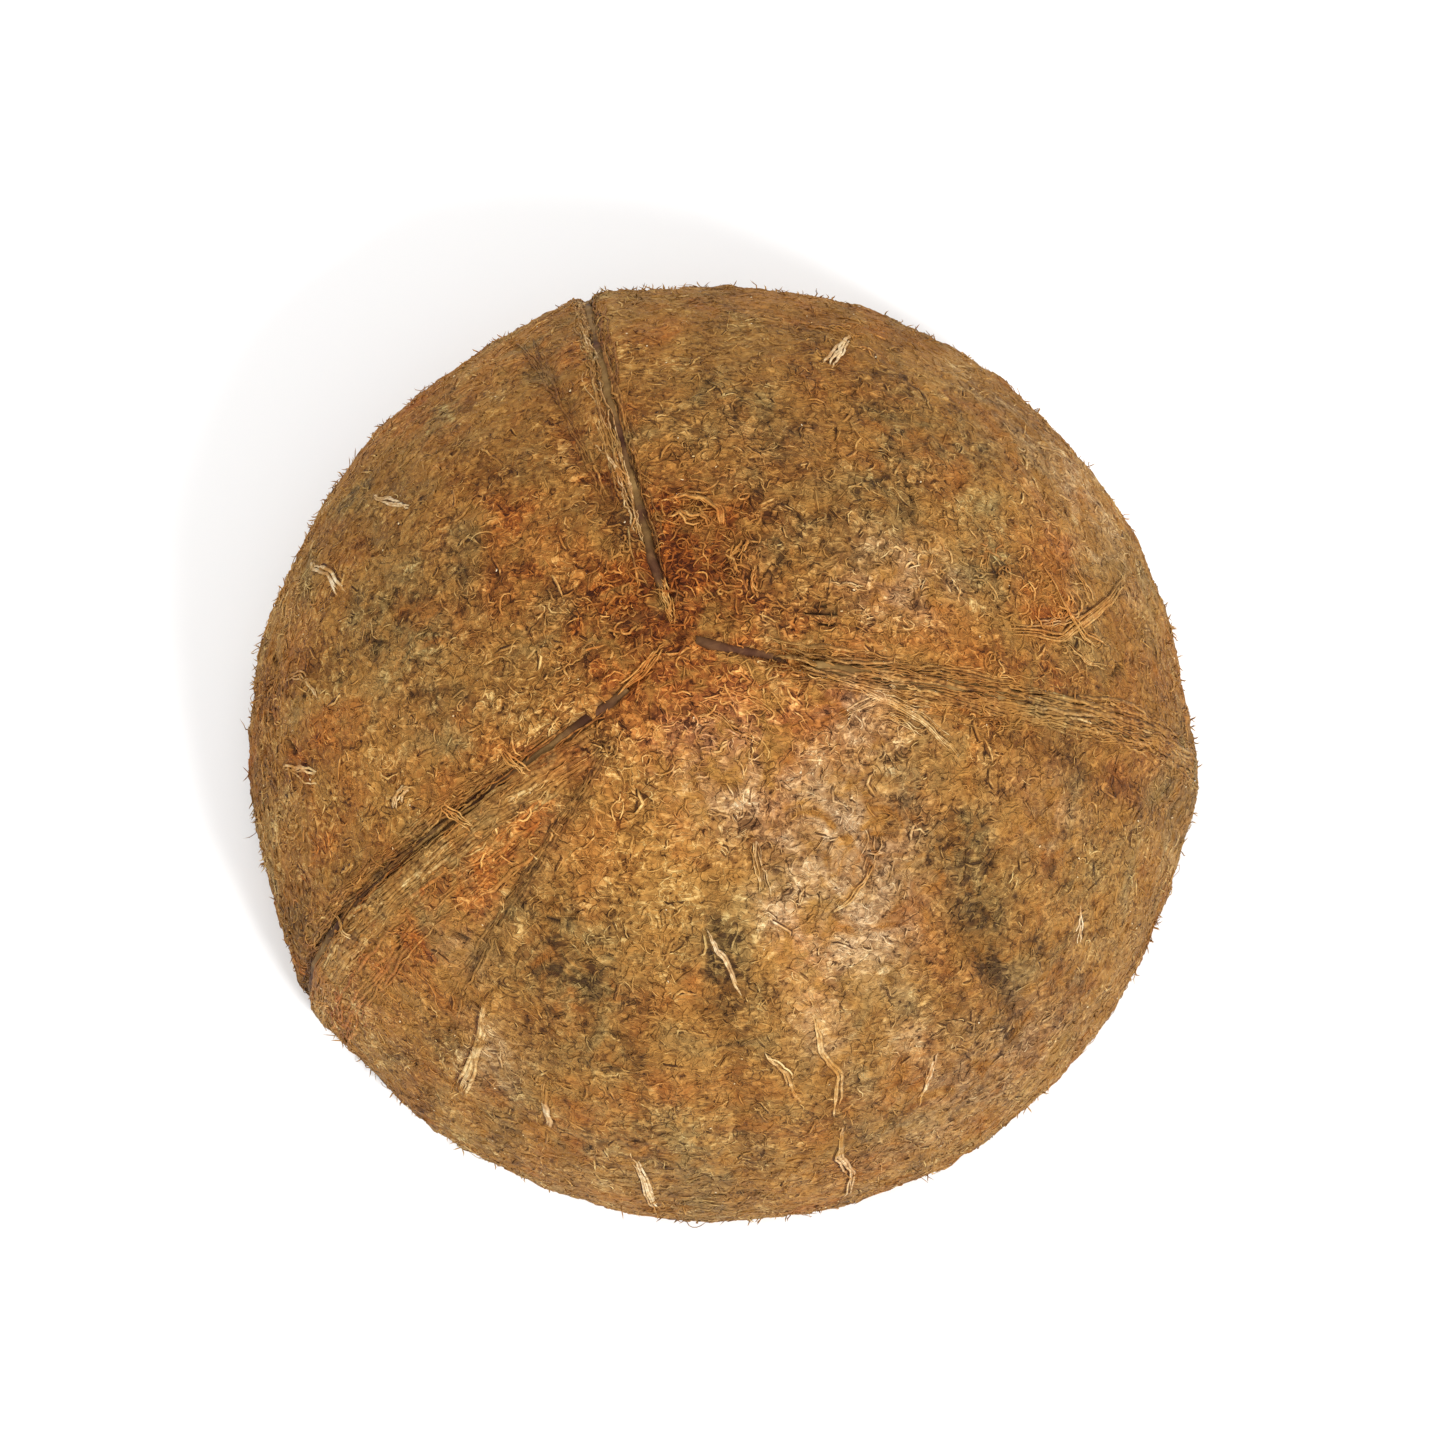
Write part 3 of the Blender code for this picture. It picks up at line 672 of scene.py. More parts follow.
def walk(directions, angle, length, turns):
    """Routes over the nut. turns holds the turn after each step, one row for each strand."""
    place, way = directions, headings(directions, angle)
    route = [place]
    step = (length / turns.shape[1] / NUT_RADIUS)[:, None]
    for turn in turns.T[..., None]:
        place = unit(place + way * step)
        way = unit(way - place * np.sum(way * place, -1, keepdims=True))
        way = np.cos(turn) * way + np.sin(turn) * np.cross(place, way)
        route.append(place)
    return np.stack(route, 1)


def mesh_of_copies(name, points, faces):
    """One object from many bent copies of a shape. points has a row of places for each copy."""
    count, each = points.shape[:2]
    corners = (faces[None] + (np.arange(count) * each)[:, None, None]).reshape(-1, 3)
    mesh = bpy.data.meshes.new(name)
    mesh.vertices.add(count * each)
    mesh.vertices.foreach_set("co", points.ravel())
    mesh.loops.add(corners.size)
    mesh.loops.foreach_set("vertex_index", corners.ravel())
    mesh.polygons.add(len(corners))
    mesh.polygons.foreach_set("loop_start", np.arange(0, corners.size, 3))
    mesh.update(calc_edges=True)
    mesh.shade_smooth()
    piece = bpy.data.objects.new(name, mesh)
    bpy.context.scene.collection.objects.link(piece)
    print(name, "has", count, "copies and", len(corners), "faces")
    return piece


def lay_strands(
    name, strand, routes, lift, radius, shade, stain=None, flatness=0.7, taper=0.5, slits=1.0
):
    """Bends a copy of the strand along each route, and makes one mesh of them all."""
    polar, azimuth = angles_of(routes)
    centre = felt_points(polar, azimuth, lift, slits)
    along = np.gradient(centre, axis=1)
    up = leaned(routes)
    side = unit(np.cross(up, along))
    up = unit(np.cross(along, side))
    station = strand["station"]
    middle = (station / station.max() - 0.5) * 2.0
    width = radius[:, None] * (1.0 - (1.0 - taper) * np.abs(middle) ** 3)
    across, above = strand["points"][:, 1], strand["points"][:, 2]
    points = centre[:, station]
    points = points + side[:, station] * (width * across)[..., None]
    thin = np.broadcast_to(flatness, len(routes))[:, None]
    points = points + up[:, station] * (width * above * thin)[..., None]
    kept = points[..., 2].min(1) > GROUND_GAP
    piece = mesh_of_copies(name, points[kept], strand["faces"])
    each = len(station)
    halfway = routes.shape[1] // 2
    own_stain = stains_at(polar[:, halfway], azimuth[:, halfway])
    if stain is not None:
        own_stain = np.maximum(own_stain * 0.5, np.asarray(stain, float))
    store(piece, "stain", np.repeat(own_stain[kept], each, 0))
    store(piece, "shade", np.repeat(shade[kept], each))
    store(piece, "along", np.tile(station / station.max(), int(kept.sum())))
    return piece


# %% [markdown]
# ## The felt
#
# The roots of the felt are spread on a golden spiral, which covers a ball evenly, and each is
# then shifted a little at random. Noise sets where the felt is combed flat and where it is
# ruffled, and which way it mostly runs. Most strands dive back into the felt at both ends, as in
# real matted coir, and only some stand up at the tip. The random draws have a seed, so the felt
# is the same each time. It is split by compass quarter, which keeps each mesh small.

# %% Spread the felt
FELT_COUNT = 9500
SPIRAL_TURN = math.pi * (3.0 - math.sqrt(5.0))
LOWEST_ROOT = -0.16
draw = np.random.default_rng(7)


def spiral_roots(count):
    """Roots spread evenly over the dome, each shifted a little, as angle from the pole and azimuth."""
    number = np.arange(count) + draw.uniform(0.0, 1.0, count)
    polar = np.arccos(1.0 - (1.0 - LOWEST_ROOT) * number / count)
    azimuth = np.arange(count) * SPIRAL_TURN + draw.normal(0.0, 1.2, count) / math.sqrt(count)
    azimuth = turn_between(azimuth, 0.0)
    clear = (bare_mask(polar, azimuth) < 0.45) & (crack_mask(polar, azimuth) < 0.4)
    above_ground = coat_points(polar, azimuth)[:, 2] > 0.0006
    return polar[clear & above_ground], azimuth[clear & above_ground]


def tangle(count, steps, wobble, curl):
    """Turns for a route: a steady curl to one side and a wobble."""
    return draw.normal(0.0, wobble, (count, steps)) + draw.normal(0.0, curl, (count, 1)) / steps


def steps_of(kind):
    """Shares of the way along a strand, one for each of its stations."""
    return np.linspace(0.0, 1.0, STATIONS[kind])


def ruffle_at(directions, polar):
    """0 where the felt is combed flat, 1 where it is ruffled."""
    patches = 0.5 + 0.9 * noise_at(directions, 0.16) + 0.5 * noise_at(directions, 0.05)
    return np.clip(np.maximum(patches, 1.2 * bump(polar, math.radians(18.0))), 0.0, 1.0)


def combed_angle(directions):
    """The way the felt mostly runs at each place, with a wide spread and both ways round."""
    count = len(directions)
    flow = 1.1 * noise_at(directions + 3.0, 0.30) + 1.2 * noise_at(directions + 5.0, 0.07)
    return flow + draw.normal(0.0, 0.7, count) + math.pi * draw.integers(0, 2, count)


def lay_by_quarter(name, lay, azimuth, *arrays, **settings):
    """Lays strands or flakes as four pieces, one for each side of the nut."""
    quarter = np.floor((azimuth + math.pi / 4.0) / (math.pi / 2.0)).astype(int) % 4
    pieces = []
    for number, side in enumerate(("right", "back", "left", "front")):
        chosen = quarter == number
        own = [array[chosen] for array in arrays]
        pieces.append(lay(f"{name}_{side}", *own, **settings))
    return pieces


def lay_flat(name, *arrays, **settings):
    """Lays short strands."""
    return lay_strands(name, strands["flat"], *arrays, **settings)


def lay_curly(name, *arrays, **settings):
    """Lays strands with more stations, which can wind."""
    return lay_strands(name, strands["curly"], *arrays, **settings)


felt_polar, felt_azimuth = spiral_roots(FELT_COUNT)
felt_count = len(felt_polar)
felt_roots = nut_directions(felt_polar, felt_azimuth)
ruffle = ruffle_at(felt_roots, felt_polar)
felt_rough = roughness_at(felt_polar, felt_azimuth)
felt_length = draw.uniform(0.0010, 0.0030, felt_count) * (0.8 + 0.4 * ruffle)
felt_routes = walk(felt_roots, combed_angle(felt_roots), felt_length, tangle(felt_count, 4, 0.45, 1.5))
flat_steps = steps_of("flat")
felt_arch = draw.uniform(0.00005, 0.00018, felt_count) * (0.6 + 0.8 * ruffle)
felt_tip = np.where(draw.uniform(0.0, 1.0, felt_count) < 0.10, draw.exponential(0.0004, felt_count), 0.0)
felt_tip = felt_tip * np.clip(felt_rough, 0.2, 1.0)
felt_lift = -0.00009 + felt_arch[:, None] * np.sin(math.pi * flat_steps) + felt_tip[:, None] * flat_steps**2
felt_radius = draw.uniform(0.00005, 0.00011, felt_count)
felt_shade = shade_at(felt_polar, felt_azimuth) + draw.normal(0.0, 0.08, felt_count) * felt_rough
felt_pieces = lay_by_quarter(
    "felt", lay_flat, felt_azimuth, felt_routes, felt_lift, felt_radius, felt_shade, flatness=0.6
)

# %% [markdown]
# ## Flakes of felt
#
# The felt also breaks up into flat, ragged mats a millimetre or two wide, which lie over one
# another like bark. One plate is modelled: a filled circle of nine corners, extruded down into a
# closed disc. Each copy has its corners pulled in or out at random and is bent over the nut.
# One edge of it stands up a little. Its walls are darkened as painted shadow, and the wall below
# the raised edge spreads outwards, so that this painted shadow shows there.

# %% Model a flake, and a way to lay it
FLAKE_CORNERS = 9
FLAKE_SKIRT = 0.30
FLAKE_ROOT = -0.00014
FLAKE_WALL_PAINTED_SHADOW = 0.34
SHADOW_SIDE = np.array((-0.64, 0.77, 0.0))

deselect_all()
bpy.ops.mesh.primitive_circle_add(vertices=FLAKE_CORNERS, radius=1.0, fill_type="TRIFAN")
plate = bpy.context.object
bpy.ops.object.mode_set(mode="EDIT")
bpy.ops.mesh.select_all(action="SELECT")
bpy.ops.mesh.extrude_region_move(TRANSFORM_OT_translate={"value": (0.0, 0.0, -1.0)})
bpy.ops.mesh.select_all(action="SELECT")
bpy.ops.mesh.quads_convert_to_tris()
bpy.ops.mesh.normals_make_consistent(inside=False)
bpy.ops.object.mode_set(mode="OBJECT")
PLATE_POINTS = points_of(plate)
PLATE_FACES = np.array([tuple(face.vertices) for face in plate.data.polygons])
bpy.data.objects.remove(plate)


def lay_flakes(name, roots, angle, length, width, lip, shade):
    """Bends a ragged plate over the nut at each root. lip is the height of its raised edge."""
    count, each = len(roots), len(PLATE_POINTS)
    outer = np.hypot(PLATE_POINTS[:, 0], PLATE_POINTS[:, 1])
    below = PLATE_POINTS[:, 2] < -0.5
    turn = np.arctan2(PLATE_POINTS[:, 1], PLATE_POINTS[:, 0]) / (2.0 * math.pi)
    corner = np.rint(turn * FLAKE_CORNERS).astype(int) % FLAKE_CORNERS
    ragged = np.where(outer > 0.5, draw.uniform(0.50, 1.35, (count, FLAKE_CORNERS))[:, corner], 1.0)
    way = headings(roots, angle)
    side = np.cross(roots, way)
    offset = way[:, None] * (PLATE_POINTS[:, 0] * ragged * length[:, None])[..., None]
    offset = offset + side[:, None] * (PLATE_POINTS[:, 1] * ragged * width[:, None])[..., None]
    raised_side = unit(SHADOW_SIDE + draw.normal(0.0, 0.55, (count, 3)))
    reach = np.linalg.norm(offset, axis=-1) + 1e-9
    toward = np.clip(np.sum(leaned(offset) * raised_side[:, None], -1) / reach, -1.0, 1.0) * outer
    spread = 1.0 + FLAKE_SKIRT * below * np.clip(toward, 0.0, 1.0)
    places = unit(roots[:, None] + offset * spread[..., None] / NUT_RADIUS)
    polar, azimuth = angles_of(places)
    height = lip[:, None] * (0.35 + 0.65 * toward) + draw.normal(0.0, 0.00003, (count, each))
    points = felt_points(polar, azimuth, np.where(below, FLAKE_ROOT, height))
    kept = points[..., 2].min(1) > GROUND_GAP
    piece = mesh_of_copies(name, points[kept], PLATE_FACES)
    root_polar, root_azimuth = angles_of(roots)
    store(piece, "stain", np.repeat(stains_at(root_polar, root_azimuth)[kept], each, 0))
    # The walls and underside of each flake are darker: painted shadow under the flake.
    all_shades = shade[:, None] - FLAKE_WALL_PAINTED_SHADOW * below
    store(piece, "shade", all_shades[kept].ravel())
    store(piece, "rough", roughness_at(polar, azimuth)[kept].ravel())
    return piece


print("a flake has", len(PLATE_FACES), "faces")

# %% Spread the flakes
FLAKE_COUNT = 7200
flake_polar, flake_azimuth = spiral_roots(FLAKE_COUNT)
flake_count = len(flake_polar)
flake_roots = nut_directions(flake_polar, flake_azimuth)
flake_rough = roughness_at(flake_polar, flake_azimuth)
flake_width = draw.uniform(0.00028, 0.00085, flake_count)
flake_length = flake_width * draw.uniform(1.0, 2.3, flake_count)
flake_lip = draw.uniform(0.00004, 0.00022, flake_count) * np.clip(flake_rough, 0.3, 1.4)
flake_shade = shade_at(flake_polar, flake_azimuth) + draw.normal(0.02, 0.05, flake_count) * flake_rough
flake_pieces = lay_by_quarter(
    "flakes", lay_flakes, flake_azimuth,
    flake_roots, combed_angle(flake_roots), flake_length, flake_width, flake_lip, flake_shade,
)

# %% [markdown]
# ## Curls
#
# Where the felt is ruffled, longer fibres have worked loose. They wind in small arches and
# stand off the coat a little. They are laid only where the ruffle is strong, and most of
# all round the pole, where the stalk was torn out.

# %% Spread the curls
CURL_COUNT = 6000
curl_polar, curl_azimuth = spiral_roots(CURL_COUNT)
curl_roots = nut_directions(curl_polar, curl_azimuth)
curl_share = 0.05 + 0.22 * ruffle_at(curl_roots, curl_polar) + 0.45 * bump(curl_polar, POLE_TORN)
curl_kept = draw.uniform(0.0, 1.0, len(curl_polar)) < curl_share
curl_polar, curl_azimuth, curl_roots = curl_polar[curl_kept], curl_azimuth[curl_kept], curl_roots[curl_kept]
curl_count = len(curl_polar)
curl_rough = np.clip(roughness_at(curl_polar, curl_azimuth), 0.3, 1.2)
curl_angle = draw.uniform(-math.pi, math.pi, curl_count)
curl_length = draw.uniform(0.0018, 0.0045, curl_count)
curl_routes = walk(curl_roots, curl_angle, curl_length, tangle(curl_count, 7, 0.50, 2.2))
curl_steps = steps_of("curly")
curl_arch = (draw.exponential(0.00014, curl_count) + 0.00010) * curl_rough
curl_tip = draw.exponential(0.00014, curl_count) * curl_rough
curl_lift = -0.00008 + curl_arch[:, None] * np.sin(math.pi * curl_steps) + curl_tip[:, None] * curl_steps**2
curl_radius = draw.uniform(0.00005, 0.00011, curl_count) + 0.00005 * bump(curl_polar, POLE_TORN)
curl_shade = shade_at(curl_polar, curl_azimuth) + draw.normal(0.04, 0.08, curl_count)
curl_pieces = lay_by_quarter(
    "curls", lay_curly, curl_azimuth, curl_routes, curl_lift, curl_radius, curl_shade, flatness=0.6
)

# %% [markdown]
# The thickest curls of all stand on the red felt round the pole, mainly above it. More lie on the
# orange patch at the right and along the left edge. They are golden orange.

# %% Lay the thick curls of the torn places
TORN_PLACES = (  # angle from the pole, azimuth, spread in mm, count
    (13, 84, 3.0, 90), (9, 55, 2.6, 50), (10, 120, 3.0, 40), (6, 150, 3.0, 34), (9, 300, 4.0, 50),
    (12, 335, 3.0, 26), (14, 200, 4.0, 20), (46, 10, 4.5, 60), (38, 15, 3.0, 30), (36, 352, 4.5, 50),
    (52, 68, 2.5, 22), (24, 225, 3.5, 20), (58, 165, 5.0, 26), (30, 20, 4.0, 24),
    (62, 178, 7.0, 60), (60, 196, 7.0, 50), (75, 205, 7.0, 40), (72, 160, 7.0, 30),
)
TORN_LIGHTER = 0.12
TORN_STAIN = (0.38, 0.0, 0.0)
torn_middle = np.concatenate(
    [np.tile(nut_directions(*np.radians(place[:2])), (place[3], 1)) for place in TORN_PLACES]
)
torn_spread = np.concatenate(
    [np.full(place[3], place[2] * MILLIMETRE / NUT_RADIUS) for place in TORN_PLACES]
)
torn_count = len(torn_middle)
torn_roots = unit(torn_middle + draw.normal(0.0, 0.7, (torn_count, 3)) * torn_spread[:, None])
torn_polar, torn_azimuth = angles_of(torn_roots)
torn_length = draw.uniform(0.0009, 0.0034, torn_count)
torn_angle = draw.uniform(-math.pi, math.pi, torn_count)
torn_routes = walk(torn_roots, torn_angle, torn_length, tangle(torn_count, 7, 0.45, 2.6))
torn_arch = draw.uniform(0.00010, 0.00045, torn_count)
torn_lift = -0.00008 + torn_arch[:, None] * np.sin(math.pi * curl_steps**0.8)
torn_radius = draw.uniform(0.00008, 0.00018, torn_count)
torn_shade = shade_at(torn_polar, torn_azimuth) + draw.normal(TORN_LIGHTER, 0.07, torn_count)
torn_curls = lay_curly(
    "torn_curls", torn_routes, torn_lift, torn_radius, torn_shade,
    stain=np.tile(TORN_STAIN, (torn_count, 1)),
)

# %% [markdown]
# ## The fringe
#
# Seen against the floor the nut has a scruffy edge of short, loose ends. They stand up steeply
# low on the dome, in tufts rather than evenly, and so each root is drawn near one of a few
# hundred places.

# %% Stand the loose ends up
TUFT_COUNT, ENDS_IN_TUFT = 420, 4
TUFT_SPREAD = 0.010
tuft_polar = np.radians(draw.uniform(56.0, 93.0, TUFT_COUNT))
tuft_azimuth = draw.uniform(-math.pi, math.pi, TUFT_COUNT)
end_polar = np.repeat(tuft_polar, ENDS_IN_TUFT) + draw.normal(0.0, TUFT_SPREAD, TUFT_COUNT * ENDS_IN_TUFT)
end_azimuth = np.repeat(tuft_azimuth, ENDS_IN_TUFT) + draw.normal(0.0, TUFT_SPREAD, TUFT_COUNT * ENDS_IN_TUFT)
end_count = len(end_polar)
end_roots = nut_directions(end_polar, end_azimuth)
end_length = draw.uniform(0.0007, 0.0018, end_count)
end_routes = walk(
    end_roots, draw.uniform(-math.pi, math.pi, end_count), end_length, tangle(end_count, 4, 0.6, 1.5)
)
end_height = draw.uniform(0.00020, 0.00120, end_count)
end_lift = -0.00008 + end_height[:, None] * steps_of("flat") ** 1.4
end_radius = draw.uniform(0.00006, 0.00013, end_count)
end_shade = shade_at(end_polar, end_azimuth) + draw.normal(0.0, 0.10, end_count)
fringe = lay_flat("fringe", end_routes, end_lift, end_radius, end_shade)

# %% [markdown]
# Here and there sits a grain of white dust or salt.

# %% Scatter the white specks
SPECK_COUNT = 150
speck_polar = np.radians(90.0) * np.sqrt(draw.uniform(0.0, 1.0, SPECK_COUNT))
speck_azimuth = draw.uniform(-math.pi, math.pi, SPECK_COUNT)
speck_routes = walk(
    nut_directions(speck_polar, speck_azimuth), draw.uniform(-math.pi, math.pi, SPECK_COUNT),
    draw.uniform(0.00018, 0.00045, SPECK_COUNT), tangle(SPECK_COUNT, 4, 0.4, 0.5),
)
speck_lift = np.full((SPECK_COUNT, STATIONS["flat"]), 0.00022)
specks_piece = lay_flat(
    "white_specks", speck_routes, speck_lift, draw.uniform(0.00006, 0.00013, SPECK_COUNT),
    np.full(SPECK_COUNT, 1.1), stain=np.tile((0.0, 0.0, 1.0), (SPECK_COUNT, 1)),
)

# %% [markdown]
# ## Ridges and their painted shadows
#
# All over the coat are short dark strokes. Most of them are painted shadows beside a fibre that
# has lifted, on the side away from the window, so they come in pairs: a ridge takes a route, and
# its painted shadow takes the same route moved sideways by a fibre's width. The shadow is a short,
# dark strand that lies almost level with the felt, so that only its back shows.

# %% Lay ridges with a painted shadow beside each
RIDGE_COUNT = 6500
RIDGE_SHADOW_OFFSET = 0.00018

ridge_polar, ridge_azimuth = spiral_roots(RIDGE_COUNT)
ridge_count = len(ridge_polar)
ridge_roots = nut_directions(ridge_polar, ridge_azimuth)
ridge_rough = roughness_at(ridge_polar, ridge_azimuth)
ridge_kept = (
    draw.uniform(0.0, 1.0, ridge_count) < 0.35 + 0.5 * ruffle_at(ridge_roots, ridge_polar) * ridge_rough
)
ridge_polar, ridge_azimuth, ridge_rough = (
    array[ridge_kept] for array in (ridge_polar, ridge_azimuth, ridge_rough)
)
ridge_roots = ridge_roots[ridge_kept]
ridge_count = len(ridge_roots)
ridge_size = np.minimum(draw.exponential(1.0, ridge_count), 3.6)
ridge_length = 0.0008 + 0.0009 * ridge_size
ridge_routes = walk(ridge_roots, combed_angle(ridge_roots), ridge_length, tangle(ridge_count, 4, 0.40, 1.3))
ridge_lift = np.outer(draw.uniform(0.00008, 0.00022, ridge_count), np.sin(math.pi * flat_steps)) - 0.00004
ridge_radius = 0.00005 + 0.000045 * ridge_size
# Ridges are a little lighter than the felt round them: a painted highlight on the lifted fibre.
ridge_shade = shade_at(ridge_polar, ridge_azimuth) + draw.normal(0.07, 0.06, ridge_count) * ridge_rough
ridge_pieces = lay_by_quarter(
    "ridges", lay_flat, ridge_azimuth, ridge_routes, ridge_lift, ridge_radius, ridge_shade, flatness=0.6
)

# Each ridge gets a dark strand beside it, away from the window: a painted shadow of the lifted fibre.
ridge_side = np.cross(ridge_routes, np.gradient(ridge_routes, axis=1))
toward_shadow = np.sign(np.sum(leaned(ridge_side[:, 2]) * SHADOW_SIDE, -1))[:, None, None]
painted_shadow_shift = unit(ridge_side) * toward_shadow * (RIDGE_SHADOW_OFFSET / NUT_RADIUS)
painted_shadow_routes = unit(ridge_routes + painted_shadow_shift)[:, [0, 1, 3, 4]]
painted_shadow_steps = steps_of("shadow_strand")
painted_shadow_lift = np.full((ridge_count, len(painted_shadow_steps)), 0.00003) - 0.00010 * np.abs(painted_shadow_steps - 0.5)
painted_shadow_radius = (0.00005 + 0.00004 * ridge_size) * np.clip(ridge_rough, 0.6, 1.3)
painted_shadow_dark = draw.normal(0.32, 0.08, ridge_count) * np.clip(ridge_rough, 0.5, 1.2)
painted_shadow_tone = shade_at(ridge_polar, ridge_azimuth) - painted_shadow_dark
ridge_shadow_piece = lay_strands(
    "painted_ridge_shadows", strands["shadow_strand"], painted_shadow_routes, painted_shadow_lift, painted_shadow_radius, painted_shadow_tone, flatness=0.4
)

# %% [markdown]
# ## Long fibres beside the seams
#
# Beside a seam the fibres run straight down the nut, side by side, for centimetres. They lie flat
# and are matted into broad smooth streaks, with some single fibres over them. Each band
# has a seam, a span of distances from it, a span of angles from the pole, a count, a
# width, and a colour. The same bands also line the two torn furrows that look like seams.

# %% Lay the bands of long fibre
SEAM_BANDS = (  # seam, from and to in mm beside it, first and last angle, count, radius in mm, shade, stain
    ("lower left", 1.0, 4.2, 11, 80, 110, 0.34, 0.48, (0.0, 0.40, 0.0)),
    ("lower left", 2.0, 3.8, 16, 82, 40, 0.22, 0.60, (0.0, 0.40, 0.10)),
    ("lower left", 4.2, 9.0, 22, 80, 80, 0.24, 0.50, (0.7, 0.0, 0.0)),
    ("lower left", 0.9, 4.6, 12, 80, 110, 0.11, 0.50, (0.1, 0.30, 0.0)),
    ("lower left", 0.4, 1.3, 10, 78, 40, 0.13, 0.46, (0.5, 0.0, 0.0)),
    ("lower left", -2.2, -0.6, 10, 60, 60, 0.13, 0.42, (0.3, 0.2, 0.0)),
    ("lower left", -0.7, 0.7, 30, 84, 50, 0.12, 0.30, (0.2, 0.5, 0.0)),
    ("right", -2.2, 1.6, 10, 88, 140, 0.26, 0.44, (0.2, 0.45, 0.0)),
    ("right", -1.6, 0.2, 34, 76, 20, 0.28, 0.53, (0.0, 0.55, 0.20)),
    ("right", -2.8, 2.2, 7, 86, 200, 0.11, 0.48, (0.3, 0.30, 0.0)),
    ("right", -2.0, 1.2, 12, 50, 26, 0.12, 0.30, (0.2, 0.40, 0.0)),
    ("upper", 0.55, 1.6, 6, 85, 70, 0.17, 0.46, (0.2, 0.45, 0.05)),
    ("upper", 0.55, 0.90, 10, 62, 34, 0.12, 0.64, (0.1, 0.2, 0.4)),
    ("upper", -1.5, -0.5, 6, 85, 50, 0.15, 0.42, (0.4, 0.2, 0.0)),
    ("upper", -0.5, 0.5, 6, 85, 70, 0.10, 0.28, (0.0, 0.7, 0.0)),
    ("left furrow", -0.5, 0.5, 13, 46, 40, 0.17, 0.34, (0.6, 0.2, 0.0)),
    ("lower furrow", -0.6, 0.6, 13, 42, 50, 0.20, 0.36, (0.2, 0.5, 0.0)),
)
LONG_STEPS = steps_of("long")
BAND_LINES = dict(SEAMS)
BAND_LINES["left furrow"] = np.radians((114.8, 0.0, 20.0))
BAND_LINES["lower furrow"] = np.radians((231.5, 9.0, 30.0))


def seam_band(line, first, last, start, end, count):
    """Routes that run beside a seam, each with its own small wander."""
    beside = draw.uniform(first, last, count) * MILLIMETRE
    root = np.radians(draw.uniform(start, end, count))
    length = draw.uniform(0.004, 0.016, count)
    polar = root[:, None] + length[:, None] * LONG_STEPS / NUT_RADIUS
    polar = np.minimum(polar, math.radians(96.0))
    wander = np.cumsum(draw.normal(0.0, 0.00015, (count, 14)), 1)
    low, turn, fade = BAND_LINES[line]
    azimuth = low + turn * np.exp(-polar / fade)
    azimuth = azimuth + (beside[:, None] + wander) / (NUT_RADIUS * np.sin(polar))
    return nut_directions(polar, azimuth)


band_pieces = []
for number, (line, first, last, start, end, count, thick, tone, stain) in enumerate(SEAM_BANDS):
    band_routes = seam_band(line, first, last, start, end, count)
    band_lift = draw.uniform(0.0, 0.00016, count)[:, None] + 0.0 * LONG_STEPS
    band_lift = band_lift - 0.00018 * np.abs(2.0 * LONG_STEPS - 1.0) ** 4
    band_radius = draw.uniform(0.6, 1.3, count) * thick * MILLIMETRE
    band_shade = draw.normal(tone, 0.06, count)
    band_stain = np.tile(stain, (count, 1))
    band_flatness = 0.9 * MILLIMETRE / 10.0 / (thick * MILLIMETRE)
    band_pieces.append(
        lay_strands(
            f"long_fibres_{number + 1}", strands["long"], band_routes, band_lift, band_radius, band_shade,
            stain=band_stain, flatness=band_flatness, slits=0.0 if line == "right" else 0.6,
        )
    )

# %% [markdown]
# ## Single fibres that catch the eye
#
# A few pale shreds and orange tufts stand out on this nut. Each is a bundle that follows a
# drawn line: the line is given by a few places on the nut, and the fibres of the bundle run along
# it side by side, each with its own wobble.

